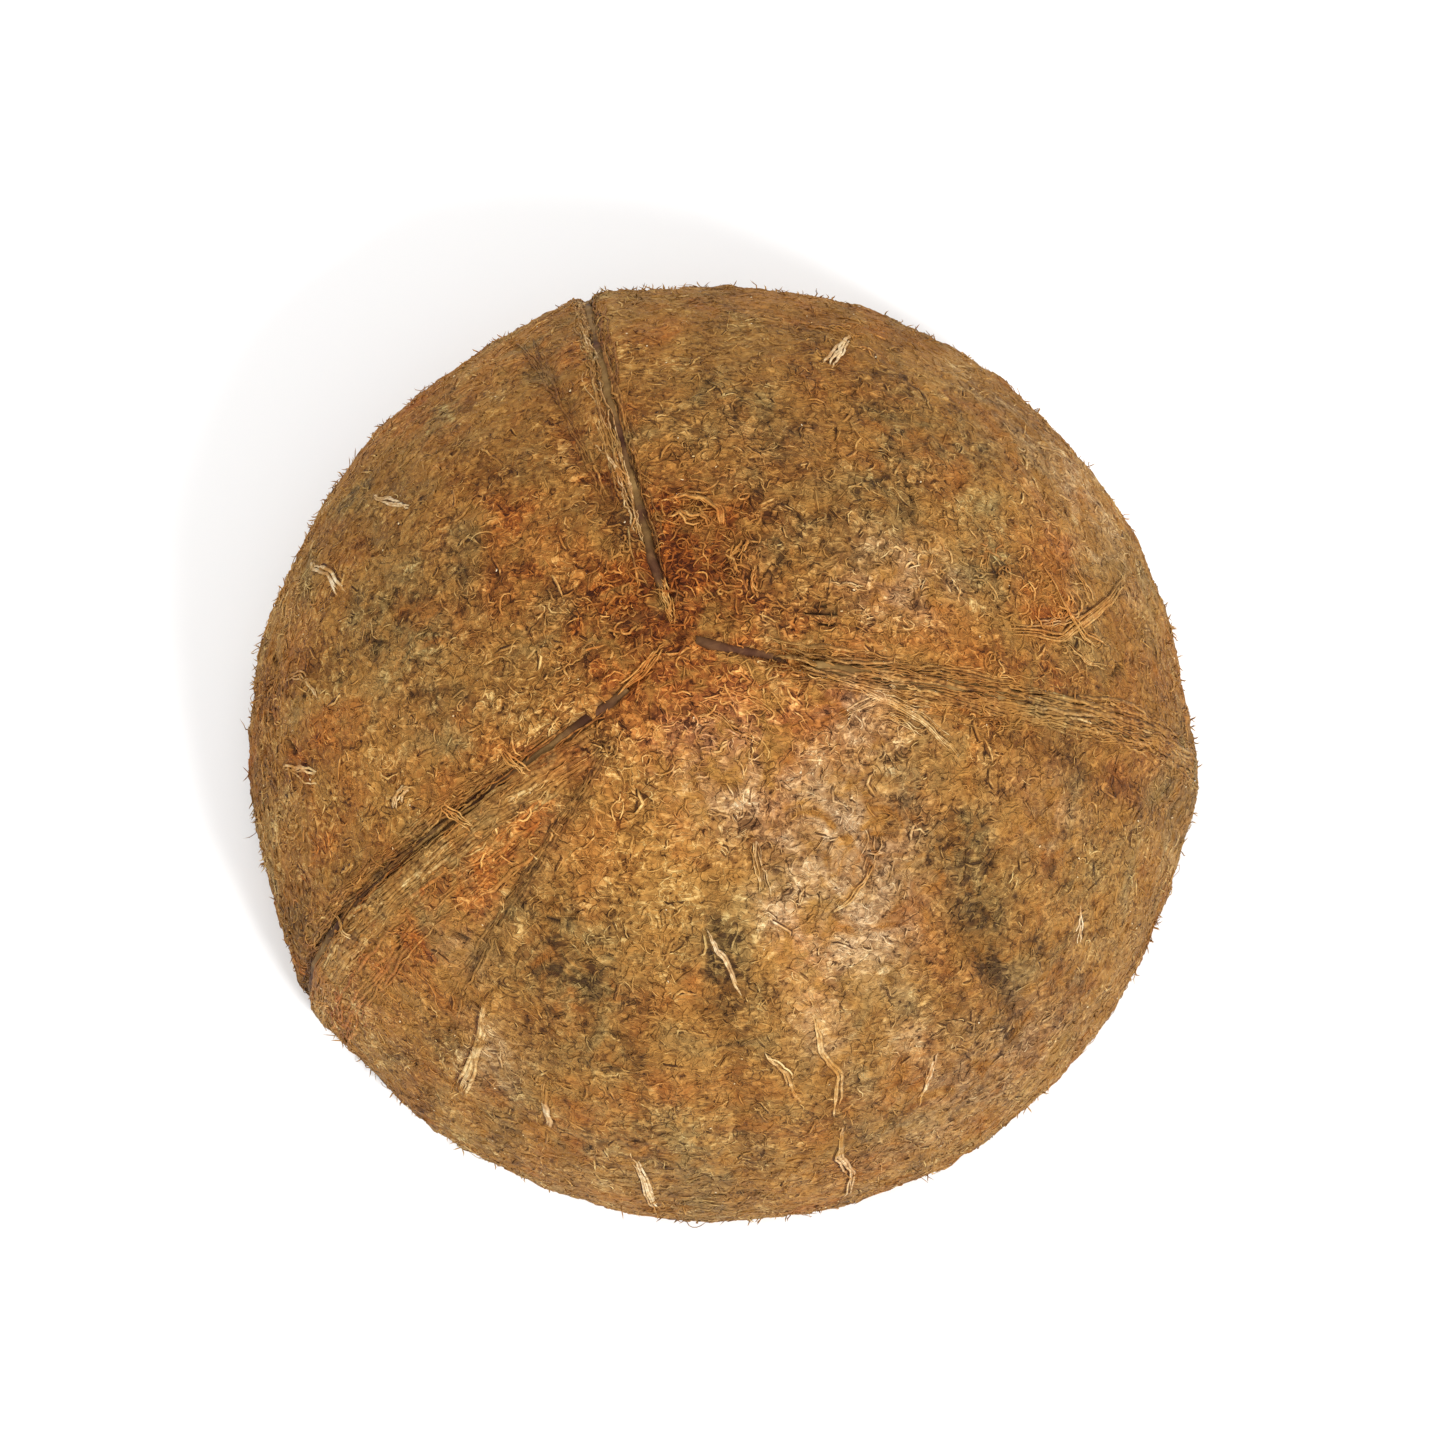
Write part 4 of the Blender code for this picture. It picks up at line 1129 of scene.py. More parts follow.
# %% Lay the shreds and tufts, and their painted shadows
SHREDS = (  # places as (angle from the pole, azimuth), width in mm, fibres, radius in mm, lift in mm, kind
    (((57.5, 159.5), (54, 161), (50.5, 162), (45.5, 165.5)), 0.7, 6, 0.28, 0.25, "pale"),
    (((50, 148.5), (44.5, 148.5), (40, 148)), 0.4, 4, 0.20, 0.15, "pale"),
    (((54, 248.5), (58.5, 249), (64.5, 250.5)), 0.5, 5, 0.28, 0.15, "pale"),
    (((45, 237), (54.5, 238.5), (67, 237.5)), 1.0, 7, 0.30, 0.05, "straw"),
    (((43.5, 290), (50, 289), (55, 290), (62, 287.5)), 0.4, 7, 0.20, 0.12, "straw"),
    (((63, 288.5), (70, 286.5), (76, 287.5), (87, 285.5)), 0.6, 8, 0.22, 0.12, "pale"),
    (((64.5, 261), (72, 262.5), (88, 263.5)), 0.7, 7, 0.26, 0.10, "pale"),
    (((48, 281), (52.5, 283), (57.5, 283.5)), 0.5, 5, 0.20, 0.10, "straw"),
    (((52, 66.5), (47, 66), (41.5, 65.5)), 0.6, 6, 0.24, 0.30, "pale"),
    (((29.5, 274), (34, 276), (40.5, 279)), 0.4, 4, 0.20, 0.12, "pale"),
    (((22, 292), (25.5, 290), (30, 289)), 0.35, 4, 0.18, 0.10, "pale"),
    (((30.5, 318), (32, 314.5), (33, 309.5), (34, 303.5), (34.5, 299.5)), 0.30, 4, 0.16, 0.15, "straw"),
    (((59, 303.5), (62.5, 300), (66.5, 297.5)), 0.4, 4, 0.20, 0.10, "pale"),
    (((34.6, 204.6), (36.5, 204.5), (38.5, 205.5)), 0.5, 5, 0.22, 0.35, "pale"),
    (((56.3, 177), (51.6, 177.4), (48.9, 180)), 0.4, 4, 0.20, 0.25, "pale"),
    (((22.4, 208), (21.9, 215), (21.5, 222)), 0.4, 5, 0.13, 0.55, "orange"),
    (((32.1, 210), (31.8, 214), (30.7, 220)), 0.4, 5, 0.13, 0.55, "orange"),
    (((55, 210), (55.5, 213), (55, 216)), 0.4, 4, 0.13, 0.50, "straw"),
    (((52, 179.5), (49.5, 178.5), (47.5, 182)), 0.4, 4, 0.16, 0.20, "straw"),
    (((59.9, 188.4), (55, 190), (49.6, 193)), 0.5, 5, 0.18, 0.25, "straw"),
    (((46.2, 186.4), (46.6, 188), (46, 189.4)), 0.4, 4, 0.16, 0.25, "orange"),
    (((38.9, 205), (36.6, 204.2), (34.4, 204.7)), 0.5, 5, 0.16, 0.40, "straw"),
    (((45.6, 17.9), (47, 11.3), (50.3, 5.5), (57, 4.5)), 0.5, 6, 0.20, 0.35, "orange"),
    (((36.9, 5.2), (45.8, 4.8), (57.4, 12.5), (65.9, 17.8)), 0.5, 7, 0.18, 0.25, "orange"),
    (((46.5, 5), (49.5, 2), (55.5, 2.5)), 0.4, 4, 0.18, 0.25, "orange"),
    (((51.5, 20.5), (52, 15), (53.5, 11.5)), 0.3, 3, 0.15, 0.20, "orange"),
    (((59.5, 330.5), (62, 328.5), (63.5, 326.5)), 0.5, 4, 0.20, 0.10, "pale"),
    (((16, 94), (16, 87.5), (16, 81.5), (15.5, 73.5), (13.5, 69.5)), 0.8, 7, 0.22, 0.55, "tuft"),
    (((14, 95.5), (14.5, 89), (13.5, 84), (14.5, 78.5)), 0.8, 6, 0.20, 0.50, "tuft"),
    (((15.5, 85), (14, 80), (12.5, 75)), 0.7, 5, 0.20, 0.50, "tuft"),
    (((13.5, 58), (12, 58.5), (10, 57.5)), 0.6, 5, 0.18, 0.40, "tuft"),
    (((12, 47.5), (10, 38.5), (9.5, 25.5)), 0.5, 5, 0.17, 0.35, "tuft"),
    (((17, 21.5), (19.5, 20.5), (22, 17.5)), 0.35, 4, 0.13, 0.30, "straw"),
    (((13.5, 345.2), (20.2, 344.6), (27.7, 342.9), (33.9, 338.7)), 0.8, 12, 0.14, 0.15, "straw"),
    (((18.5, 332), (22.7, 343.8), (28.7, 344.7)), 0.8, 9, 0.14, 0.12, "straw"),
    (((20.5, 338), (24.5, 340.5), (29, 340)), 0.9, 7, 0.14, 0.12, "straw"),
    (((36, 6), (44, 7), (52, 9)), 0.5, 5, 0.13, 0.10, "straw"),
    (((5, 300), (9, 318), (14, 322)), 0.4, 4, 0.13, 0.20, "orange"),
    (((6, 280), (11, 300), (15, 306)), 0.4, 4, 0.13, 0.20, "orange"),
    (((0.5, 100), (3, 100), (6.5, 103)), 0.7, 12, 0.12, 0.12, "orange"),
    (((1, 230), (4, 228), (9, 224)), 0.6, 8, 0.12, 0.12, "orange"),
)
SHRED_THICKNESS = 0.00009
SHRED_SHADOW = 0.5
SHRED_TONES = {  # shade, then red, grey and pale
    "pale": (0.70, (0.0, 0.1, 0.70)),
    "straw": (0.66, (0.0, 0.2, 0.30)),
    "orange": (0.64, (0.45, 0.0, 0.0)),
    "tuft": (0.66, (0.55, 0.0, 0.0)),
}


def drawn_routes(places, width, count):
    """Routes of a bundle that follows a drawn line over the nut, and wave a little together."""
    line = nut_directions(*np.radians(places).T)
    station = np.linspace(0.0, len(places) - 1.0, 40)
    fine = np.stack([np.interp(station, np.arange(len(places)), line[:, axis]) for axis in range(3)], -1)
    fine = unit(fine + 0.0045 * np.stack([noise_at(fine + axis, 0.030) for axis in range(3)], -1))
    start = draw.uniform(0.0, 0.45, count)
    end = np.minimum(start + draw.uniform(0.45, 0.9, count), 1.0)
    wanted = (start[:, None] + (end - start)[:, None] * LONG_STEPS) * 39.0
    routes = np.stack([np.interp(wanted, np.arange(40), fine[:, axis]) for axis in range(3)], -1)
    side = unit(np.cross(routes, np.gradient(routes, axis=1)))
    wander = np.cumsum(draw.normal(0.0, 0.00009, (count, 14)), 1)
    beside = (draw.uniform(-0.5, 0.5, count) * width * MILLIMETRE)[:, None] + wander
    return unit(routes + side * (beside / NUT_RADIUS)[..., None])


def shifted_to_shadow(routes, distance):
    """The same routes, moved sideways to the side away from the window."""
    side = unit(np.cross(routes, np.gradient(routes, axis=1)))
    facing = np.sign(np.sum(leaned(side[:, 7]) * SHADOW_SIDE, -1))[:, None, None]
    return unit(routes + side * facing * (distance[:, None, None] / NUT_RADIUS))


shred_pieces = []
shadow_routes, shadow_radius = [], []
for kind, (tone, stain) in SHRED_TONES.items():
    own = [shred for shred in SHREDS if shred[-1] == kind]
    routes = np.concatenate([drawn_routes(places, width, count) for places, width, count, *_ in own])
    thick = np.concatenate([np.full(shred[2], shred[3] * MILLIMETRE) for shred in own])
    spread = np.concatenate([np.full(shred[2], 0.5 * shred[1] * MILLIMETRE) for shred in own])
    radius = draw.uniform(0.35, 1.25, len(thick)) * thick
    stand = np.concatenate([draw.uniform(0.3, 1.2, shred[2]) * shred[4] * MILLIMETRE for shred in own])
    count = len(routes)
    lift = stand[:, None] * (0.35 + 0.65 * np.sin(math.pi * LONG_STEPS)) + 0.00006
    lift = lift - 0.00012 * np.abs(2.0 * LONG_STEPS - 1.0) ** 6
    shade = draw.normal(tone, 0.07, count)
    shred_pieces.append(
        lay_strands(
            f"shreds_{kind}", strands["long"], routes, lift, radius, shade,
            stain=np.tile(stain, (count, 1)), flatness=SHRED_THICKNESS / radius, slits=0.5,
        )
    )
    # Half of the shred fibres get a dark strand beside them, away from the window: a painted shadow.
    shaded = draw.uniform(0.0, 1.0, count) < SHRED_SHADOW
    shadow_routes.append(shifted_to_shadow(routes, 0.8 * radius + 0.4 * spread)[shaded])
    shadow_radius.append(0.55 * radius[shaded])
shadow_routes, shadow_radius = np.concatenate(shadow_routes), np.concatenate(shadow_radius)
shadow_count = len(shadow_routes)
shred_pieces.append(
    lay_strands(
        "painted_shred_shadows", strands["long"], shadow_routes, np.full((shadow_count, 14), 0.00004), shadow_radius,
        draw.normal(0.17, 0.05, shadow_count), stain=np.tile((0.3, 0.2, 0.0), (shadow_count, 1)),
        flatness=0.4,
    )
)

# %% [markdown]
# ## Materials
#
# All of the fibre takes its colour from one node group. It holds a colour ramp for plain coir,
# one for rust red, one for grey olive and one for pale fibre, each from dark to light. The shade
# picks a place on the ramps, and the stain masks mix them. Only the masks differ from place to
# place, so the skin and the fibres always agree.

# %% Node helpers and the colour group
def add_node(tree, kind, inputs=None, **settings):
    """A node with its settings and its inputs filled in. An input is a value or another socket."""
    node = tree.nodes.new(kind)
    for setting, value in settings.items():
        setattr(node, setting, value)
    for name, value in (inputs or {}).items():
        plug(tree, node.inputs[name], value)
    return node


def plug(tree, socket, value):
    """Links another socket to this one, or fills in a value."""
    if isinstance(value, bpy.types.NodeSocket):
        tree.links.new(value, socket)
    else:
        socket.default_value = value


def add_ramp(tree, fac, stops):
    """A colour ramp from (position, red, green, blue) stops. Gives its colour socket."""
    ramp = add_node(tree, "ShaderNodeValToRGB", {"Fac": fac})
    elements = ramp.color_ramp.elements
    while len(elements) < len(stops):
        elements.new(0.5)
    for element, (position, *colour) in zip(elements, stops):
        element.position = position
        element.color = (*colour, 1.0)
    return ramp.outputs["Color"]


def mix_colours(tree, factor, first, second, blend="MIX"):
    """Mixes two colours by a factor. Each may be a socket."""
    node = add_node(tree, "ShaderNodeMix", data_type="RGBA", blend_type=blend, clamp_factor=True)
    for socket, value in ((node.inputs[0], factor), (node.inputs[6], first), (node.inputs[7], second)):
        plug(tree, socket, value)
    return node.outputs[2]


def calculate(tree, operation, *values, clamp=False):
    """A Math node on its values, each a number or a socket."""
    node = add_node(tree, "ShaderNodeMath", operation=operation, use_clamp=clamp)
    for socket, value in zip(node.inputs, values):
        plug(tree, socket, value)
    return node.outputs[0]


def add_noise(tree, place, scale, detail=2.0, roughness=0.55, distortion=0.0):
    """The value of a noise texture, from 0 to 1 about 0.5."""
    inputs = {
        "Vector": place, "Scale": scale, "Detail": detail, "Roughness": roughness, "Distortion": distortion,
    }
    return add_node(tree, "ShaderNodeTexNoise", inputs).outputs["Fac"]


def new_group(name, inputs, outputs):
    """An empty node group. inputs holds name: (socket type, default), outputs name: socket type."""
    group = bpy.data.node_groups.new(name, "ShaderNodeTree")
    for socket_name, (kind, default) in inputs.items():
        socket = group.interface.new_socket(socket_name, in_out="INPUT", socket_type=kind)
        if default is not None:
            socket.default_value = default
    for socket_name, kind in outputs.items():
        group.interface.new_socket(socket_name, in_out="OUTPUT", socket_type=kind)
    return group, group.nodes.new("NodeGroupInput").outputs, group.nodes.new("NodeGroupOutput").inputs


COIR = (
    (0.0, 0.060, 0.020, 0.003), (0.28, 0.195, 0.076, 0.013),
    (0.60, 0.455, 0.220, 0.049), (1.0, 0.82, 0.55, 0.20),
)
RUST = (
    (0.0, 0.055, 0.010, 0.001), (0.28, 0.175, 0.040, 0.005),
    (0.60, 0.440, 0.130, 0.018), (1.0, 0.80, 0.37, 0.08),
)
OLIVE = (
    (0.0, 0.055, 0.026, 0.008), (0.28, 0.155, 0.084, 0.023),
    (0.60, 0.360, 0.220, 0.070), (1.0, 0.68, 0.52, 0.22),
)
PALE = (
    (0.0, 0.095, 0.046, 0.020), (0.28, 0.300, 0.165, 0.075),
    (0.60, 0.570, 0.370, 0.190), (1.0, 0.84, 0.68, 0.44),
)

FLOAT, COLOUR, VECTOR = "NodeSocketFloat", "NodeSocketColor", "NodeSocketVector"
coir_group, coir_in, coir_out = new_group(
    "Coir colour",
    {"Shade": (FLOAT, 0.5), "Red": (FLOAT, 0.0), "Grey": (FLOAT, 0.0), "Pale": (FLOAT, 0.0)},
    {"Color": COLOUR},
)
coir_mixed = add_ramp(coir_group, coir_in["Shade"], COIR)
for kind, stops in (("Red", RUST), ("Grey", OLIVE), ("Pale", PALE)):
    kind_colour = add_ramp(coir_group, coir_in["Shade"], stops)
    coir_mixed = mix_colours(coir_group, coir_in[kind], coir_mixed, kind_colour)
coir_group.links.new(coir_mixed, coir_out["Color"])
print("made the group", coir_group.name)

# %% [markdown]
# ## Ragged stains
#
# A stain with a smooth edge looks airbrushed. On the real coat it is ragged, because single
# fibres carry it. This second group breaks the masks up with noise in object space, so an edge
# runs the same way through the skin and through the fibres on it. It also lets the whole coat
# drift a little between orange and olive, and puts dark spots into the grey patches, where the
# shell shows through thin felt.

# %% The group that breaks up the stains
ragged_group, ragged_in, ragged_out = new_group(
    "Ragged stains", {"Stain": (VECTOR, None), "Shade": (FLOAT, 0.5)},
    {"Shade": FLOAT, "Red": FLOAT, "Grey": FLOAT, "Pale": FLOAT},
)
object_place = add_node(ragged_group, "ShaderNodeTexCoord").outputs["Object"]
stain_parts = add_node(ragged_group, "ShaderNodeSeparateXYZ", {"Vector": ragged_in["Stain"]}).outputs
blotches = add_noise(ragged_group, object_place, 230.0, 4.0, 0.65, 0.8)
specks = add_noise(ragged_group, object_place, 470.0, 3.0, 0.6, 0.6)
drift = add_noise(ragged_group, object_place, 95.0, 5.0, 0.6, 0.6)
wanted = calculate(ragged_group, "MULTIPLY_ADD", blotches, 5.0, -1.85)
orange_drift = calculate(ragged_group, "MULTIPLY_ADD", drift, 3.4, -1.72, clamp=True)
olive_drift = calculate(ragged_group, "MULTIPLY_ADD", drift, -4.2, 2.00, clamp=True)
for part, kind, extra in ((0, "Red", orange_drift), (1, "Grey", olive_drift), (2, "Pale", None)):
    ragged = calculate(ragged_group, "MULTIPLY", stain_parts[part], wanted, clamp=True)
    if extra is not None:
        ragged = calculate(ragged_group, "ADD", ragged, extra, clamp=True)
    ragged_group.links.new(ragged, ragged_out[kind])
spots = calculate(ragged_group, "MULTIPLY_ADD", specks, 11.0, -5.9, clamp=True)
spots = calculate(ragged_group, "MULTIPLY", spots, calculate(ragged_group, "ADD", stain_parts[1], 0.10))
uneven = calculate(ragged_group, "MULTIPLY_ADD", blotches, 0.28, -0.14)
blotch_share = calculate(ragged_group, "MULTIPLY_ADD", blotches, 4.0, -1.5, clamp=True)
drawn_out = calculate(ragged_group, "ADD", blotch_share, 0.5)
from_base = calculate(ragged_group, "SUBTRACT", ragged_in["Shade"], 0.5)
shade_stretched = calculate(ragged_group, "MULTIPLY_ADD", from_base, drawn_out, 0.5)
shade_mixed = calculate(ragged_group, "ADD", shade_stretched, uneven)
spots_dark = calculate(ragged_group, "MULTIPLY", spots, 0.30)
shade_mixed = calculate(ragged_group, "SUBTRACT", shade_mixed, spots_dark)
ragged_group.links.new(shade_mixed, ragged_out["Shade"])
print("made the group", ragged_group.name)

# %% [markdown]
# ## The pattern of the felt
#
# Between the strands the skin itself must look like felt. Noise is close to 0.5 along winding
# lines, so the distance from 0.5 draws threads and creases. A narrow band round it is light for a
# thread and dark for a crease, where the dark is painted shade in a hollow that the bump also
# lowers. Noise that is stretched gives long strokes, and two stretched layers take turns in
# patches, as if each patch had been combed its own way. Pits are the darkest parts of a finer
# noise: low in the bump, and darkened as painted shade.

# %% The group that draws threads, creases and pits
def line_of(tree, place, scale, half_width, distortion=0.0):
    """1 along winding lines, and 0 away from them. half_width is in units of the noise."""
    from_middle = calculate(tree, "SUBTRACT", add_noise(tree, place, scale, 1.0, 0.5, distortion), 0.5)
    away = calculate(tree, "ABSOLUTE", from_middle)
    mapped = {"Value": away, "From Min": 0.0, "From Max": half_width, "To Min": 1.0, "To Max": 0.0}
    return add_node(tree, "ShaderNodeMapRange", mapped, interpolation_type="SMOOTHSTEP").outputs["Result"]


def stretched(tree, place, turn):
    """The same places, turned and drawn out along one direction."""
    inputs = {"Vector": place, "Rotation": turn, "Scale": (0.36, 1.0, 1.0)}
    return add_node(tree, "ShaderNodeMapping", inputs).outputs["Vector"]


felt_group, felt_in, felt_out = new_group(
    "Felt pattern", {"Vector": (VECTOR, None)}, {"Height": FLOAT, "Shade": FLOAT}
)
felt_place = felt_in["Vector"]
combed_one = line_of(felt_group, stretched(felt_group, felt_place, (0.4, 0.3, 0.5)), 900.0, 0.075, 1.0)
combed_two = line_of(felt_group, stretched(felt_group, felt_place, (0.2, -0.5, 2.2)), 900.0, 0.075, 1.0)
patch_noise = add_noise(felt_group, felt_place, 240.0, 2.0)
patches = calculate(felt_group, "MULTIPLY_ADD", patch_noise, 8.0, -3.5, clamp=True)
tangled = line_of(felt_group, felt_place, 620.0, 0.050, 1.2)
creases = line_of(felt_group, felt_place, 380.0, 0.032, 1.0)
break_noise = add_noise(felt_group, felt_place, 330.0, 1.0)
broken = calculate(felt_group, "MULTIPLY_ADD", break_noise, 7.0, -3.2, clamp=True)
creases = calculate(felt_group, "MULTIPLY", creases, broken)
grains = add_noise(felt_group, felt_place, 1250.0, 3.0, 0.65, 0.4)
pits = calculate(felt_group, "MULTIPLY_ADD", grains, -8.0, 3.05, clamp=True)
threads = add_node(felt_group, "ShaderNodeMix", {"Factor": patches}, data_type="FLOAT")
felt_group.links.new(combed_one, threads.inputs[2])
felt_group.links.new(combed_two, threads.inputs[3])
tangled_faint = calculate(felt_group, "MULTIPLY", tangled, 0.9)
threads = calculate(felt_group, "MAXIMUM", threads.outputs[0], tangled_faint)
felt_height = calculate(felt_group, "ADD", threads, calculate(felt_group, "MULTIPLY", grains, 1.2))
felt_hollow = calculate(felt_group, "ADD", creases, pits)
felt_height = calculate(felt_group, "SUBTRACT", felt_height, felt_hollow)
felt_group.links.new(felt_height, felt_out["Height"])
felt_light = calculate(felt_group, "MULTIPLY_ADD", threads, 0.17, -0.11)
grain_light = calculate(felt_group, "MULTIPLY_ADD", grains, 0.55, -0.275)
# Creases and pits are darkened: painted shade in the hollows of the felt.
felt_painted_shade = calculate(felt_group, "MULTIPLY", felt_hollow, 0.20)
felt_light = calculate(felt_group, "ADD", felt_light, grain_light)
felt_light = calculate(felt_group, "SUBTRACT", felt_light, felt_painted_shade)
felt_group.links.new(felt_light, felt_out["Shade"])
print("made the group", felt_group.name)

# %% [markdown]
# ## The fibre material
#
# Dry coir is dull and a little waxy. A fibre is darker at its root, where dust and shadow gather,
# and lightest at its tip. The `along` attribute runs from 0 at the root to 1 at the tip and
# carries that. Fine noise makes short dark flecks.

# %% Make the fibre material
def attribute_socket(tree, name, output="Fac"):
    """The value that a mesh carries under this name."""
    return add_node(tree, "ShaderNodeAttribute", attribute_name=name).outputs[output]


def new_material(name, **constants):
    """A material with only a Principled BSDF. Constants go straight on the shader's sockets."""
    material = bpy.data.materials.new(name)
    material.use_nodes = True
    shader = material.node_tree.nodes["Principled BSDF"]
    for socket, value in constants.items():
        shader.inputs[socket.replace("_", " ")].default_value = value
    return material, material.node_tree, shader


def coir_colour(tree, shade):
    """The colour of coir at this shade, with the stains that the mesh carries."""
    ragged = add_node(tree, "ShaderNodeGroup", node_tree=ragged_group)
    tree.links.new(attribute_socket(tree, "stain", "Vector"), ragged.inputs["Stain"])
    tree.links.new(shade, ragged.inputs["Shade"])
    colour = add_node(tree, "ShaderNodeGroup", node_tree=coir_group)
    for name in ("Shade", "Red", "Grey", "Pale"):
        tree.links.new(ragged.outputs[name], colour.inputs[name])
    return colour.outputs["Color"]


FLECK_STRENGTH = 0.8
fibre_material, tree, shader = new_material("dry coir fibre", Roughness=0.80, Specular_IOR_Level=0.20)
place = add_node(tree, "ShaderNodeTexCoord").outputs["Object"]
tip_shade = calculate(tree, "MULTIPLY_ADD", attribute_socket(tree, "along"), 0.12, -0.06)
fleck_noise = add_noise(tree, place, 1900.0, 2.0)
flecks = calculate(tree, "MULTIPLY_ADD", fleck_noise, FLECK_STRENGTH, -FLECK_STRENGTH / 2.0)
fibre_shade = calculate(tree, "ADD", attribute_socket(tree, "shade"), tip_shade)
fibre_shade = calculate(tree, "ADD", fibre_shade, flecks)
tree.links.new(coir_colour(tree, fibre_shade), shader.inputs["Base Color"])
print("made", fibre_material.name)

# %% [markdown]
# ## The skin's materials
#
# The coat takes the felt pattern for its shade and its bump. Bump only bends the light on the
# skin, which is enough for threads finer than the faces. Cracks and the floor of the slits are
# nearly black. In the cracks this is dark shell with painted shade, darker than the bare shell.

# %% Make the material of the coat
THREAD_HEIGHT = 0.00016
coat_material, tree, shader = new_material("felt under the fibre", Roughness=0.88, Specular_IOR_Level=0.18)
place = add_node(tree, "ShaderNodeTexCoord").outputs["Object"]
pattern = add_node(tree, "ShaderNodeGroup", {"Vector": place}, node_tree=felt_group)
pattern_shade = calculate(tree, "MULTIPLY", pattern.outputs["Shade"], attribute_socket(tree, "rough"))
coat_shade = calculate(tree, "ADD", attribute_socket(tree, "shade"), pattern_shade)
# The crack colour is the dark shell with painted shade of the deep gap.
SLIT_COLOUR, CRACK_SHELL_AND_SHADE = (0.075, 0.038, 0.018, 1.0), (0.022, 0.009, 0.004, 1.0)
covered = mix_colours(tree, attribute_socket(tree, "bare"), coir_colour(tree, coat_shade), SLIT_COLOUR)
covered = mix_colours(tree, attribute_socket(tree, "crack"), covered, CRACK_SHELL_AND_SHADE)
tree.links.new(covered, shader.inputs["Base Color"])
felt_bump = add_node(
    tree, "ShaderNodeBump", {"Height": pattern.outputs["Height"], "Strength": 1.0, "Distance": THREAD_HEIGHT}
)
tree.links.new(felt_bump.outputs["Normal"], shader.inputs["Normal"])

# %% [markdown]
# The bare strips are smooth, hard shell. Plain noise is enough here: purple brown where the strip
# is dark, olive grey elsewhere, and nearly dull.

# %% Make the materials of the strips, the sawn rim and the bowl
strip_material, tree, shader = new_material(
    "bare shell of the seams", Roughness=0.75, Specular_IOR_Level=0.12
)
place = add_node(tree, "ShaderNodeTexCoord").outputs["Object"]
smudge = add_noise(tree, place, 420.0, 4.0, 0.6, 0.5)
olive_shell = add_ramp(
    tree, smudge,
    ((0.30, 0.130, 0.066, 0.020), (0.52, 0.205, 0.112, 0.034), (0.74, 0.300, 0.178, 0.062)),
)
purple_shell = add_ramp(
    tree, smudge,
    ((0.35, 0.040, 0.013, 0.006), (0.52, 0.078, 0.030, 0.014), (0.68, 0.150, 0.066, 0.026)),
)
strip_colour = mix_colours(tree, attribute_socket(tree, "dark"), olive_shell, purple_shell)
tree.links.new(strip_colour, shader.inputs["Base Color"])
strip_bump = add_node(tree, "ShaderNodeBump", {"Height": smudge, "Strength": 0.5, "Distance": 0.0003})
tree.links.new(strip_bump.outputs["Normal"], shader.inputs["Normal"])

rim_material, tree, shader = new_material("sawn shell", Roughness=0.60, Specular_IOR_Level=0.35)
place = add_node(tree, "ShaderNodeTexCoord").outputs["Object"]
grain = add_noise(tree, place, 900.0, 4.0, 0.65)
rim_colour = add_ramp(
    tree, grain,
    ((0.30, 0.045, 0.020, 0.009), (0.52, 0.130, 0.062, 0.026), (0.72, 0.260, 0.140, 0.062)),
)
tree.links.new(rim_colour, shader.inputs["Base Color"])
rim_bump = add_node(tree, "ShaderNodeBump", {"Height": grain, "Strength": 0.5, "Distance": 0.0003})
tree.links.new(rim_bump.outputs["Normal"], shader.inputs["Normal"])

bowl_material, tree, shader = new_material("inside of the shell", Specular_IOR_Level=0.45)
place = add_node(tree, "ShaderNodeTexCoord").outputs["Object"]
mottle = add_noise(tree, place, 70.0, 6.0, 0.6, 0.8)
veins = line_of(tree, place, 75.0, 0.022, 1.0)
bowl_colour = add_ramp(
    tree, mottle,
    ((0.30, 0.085, 0.036, 0.015), (0.52, 0.190, 0.090, 0.036), (0.72, 0.330, 0.185, 0.085)),
)
veins_faint = calculate(tree, "MULTIPLY", veins, 0.18)
bowl_colour = mix_colours(tree, veins_faint, bowl_colour, (0.42, 0.27, 0.14, 1.0))
tree.links.new(bowl_colour, shader.inputs["Base Color"])
gloss = add_node(tree, "ShaderNodeMapRange", {"Value": mottle, "To Min": 0.38, "To Max": 0.62})
tree.links.new(gloss.outputs["Result"], shader.inputs["Roughness"])
bowl_bump = add_node(tree, "ShaderNodeBump", {"Height": veins, "Strength": 0.35, "Distance": 0.0004})
tree.links.new(bowl_bump.outputs["Normal"], shader.inputs["Normal"])
print("made", len(bpy.data.materials), "materials")

# %% [markdown]
# ## Dressing the pieces
#
# Each face of the skin is given its material by its place: faces that lie in the saw cut are
# sawn fibre or sawn shell, and of the rest those nearer to the nut's middle are the bowl. Every
# piece rides on the one body of the model, and the skin stands for the solid shell.

# %% Give out the materials and tie the pieces to the model
for material in (coat_material, rim_material, bowl_material):
    skin.data.materials.append(material)
skin_heights = points_of(skin)[:, 2]
skin_corners = np.array([tuple(face.vertices) for face in skin.data.polygons])
skin_middles = points_of(skin)[skin_corners].mean(1)
in_cut = skin_heights[skin_corners].max(1) < EDGE_REACH
from_middle = np.linalg.norm(skin_middles - np.array(NUT_MIDDLE), axis=1)
inside = from_middle < NUT_RADIUS - 0.7 * RIM_WALL
ring_radius = np.hypot(skin_middles[:, 0], skin_middles[:, 1])
sawn_slots = np.where(ring_radius > NUT_RADIUS - COAT_THICKNESS, 0, 1)
face_slots = np.where(in_cut, sawn_slots, np.where(inside, 2, 0))
skin.data.polygons.foreach_set("material_index", face_slots.astype(np.int32))
skin.data.shade_smooth()
skin.data.set_sharp_from_angle(angle=math.radians(50.0))

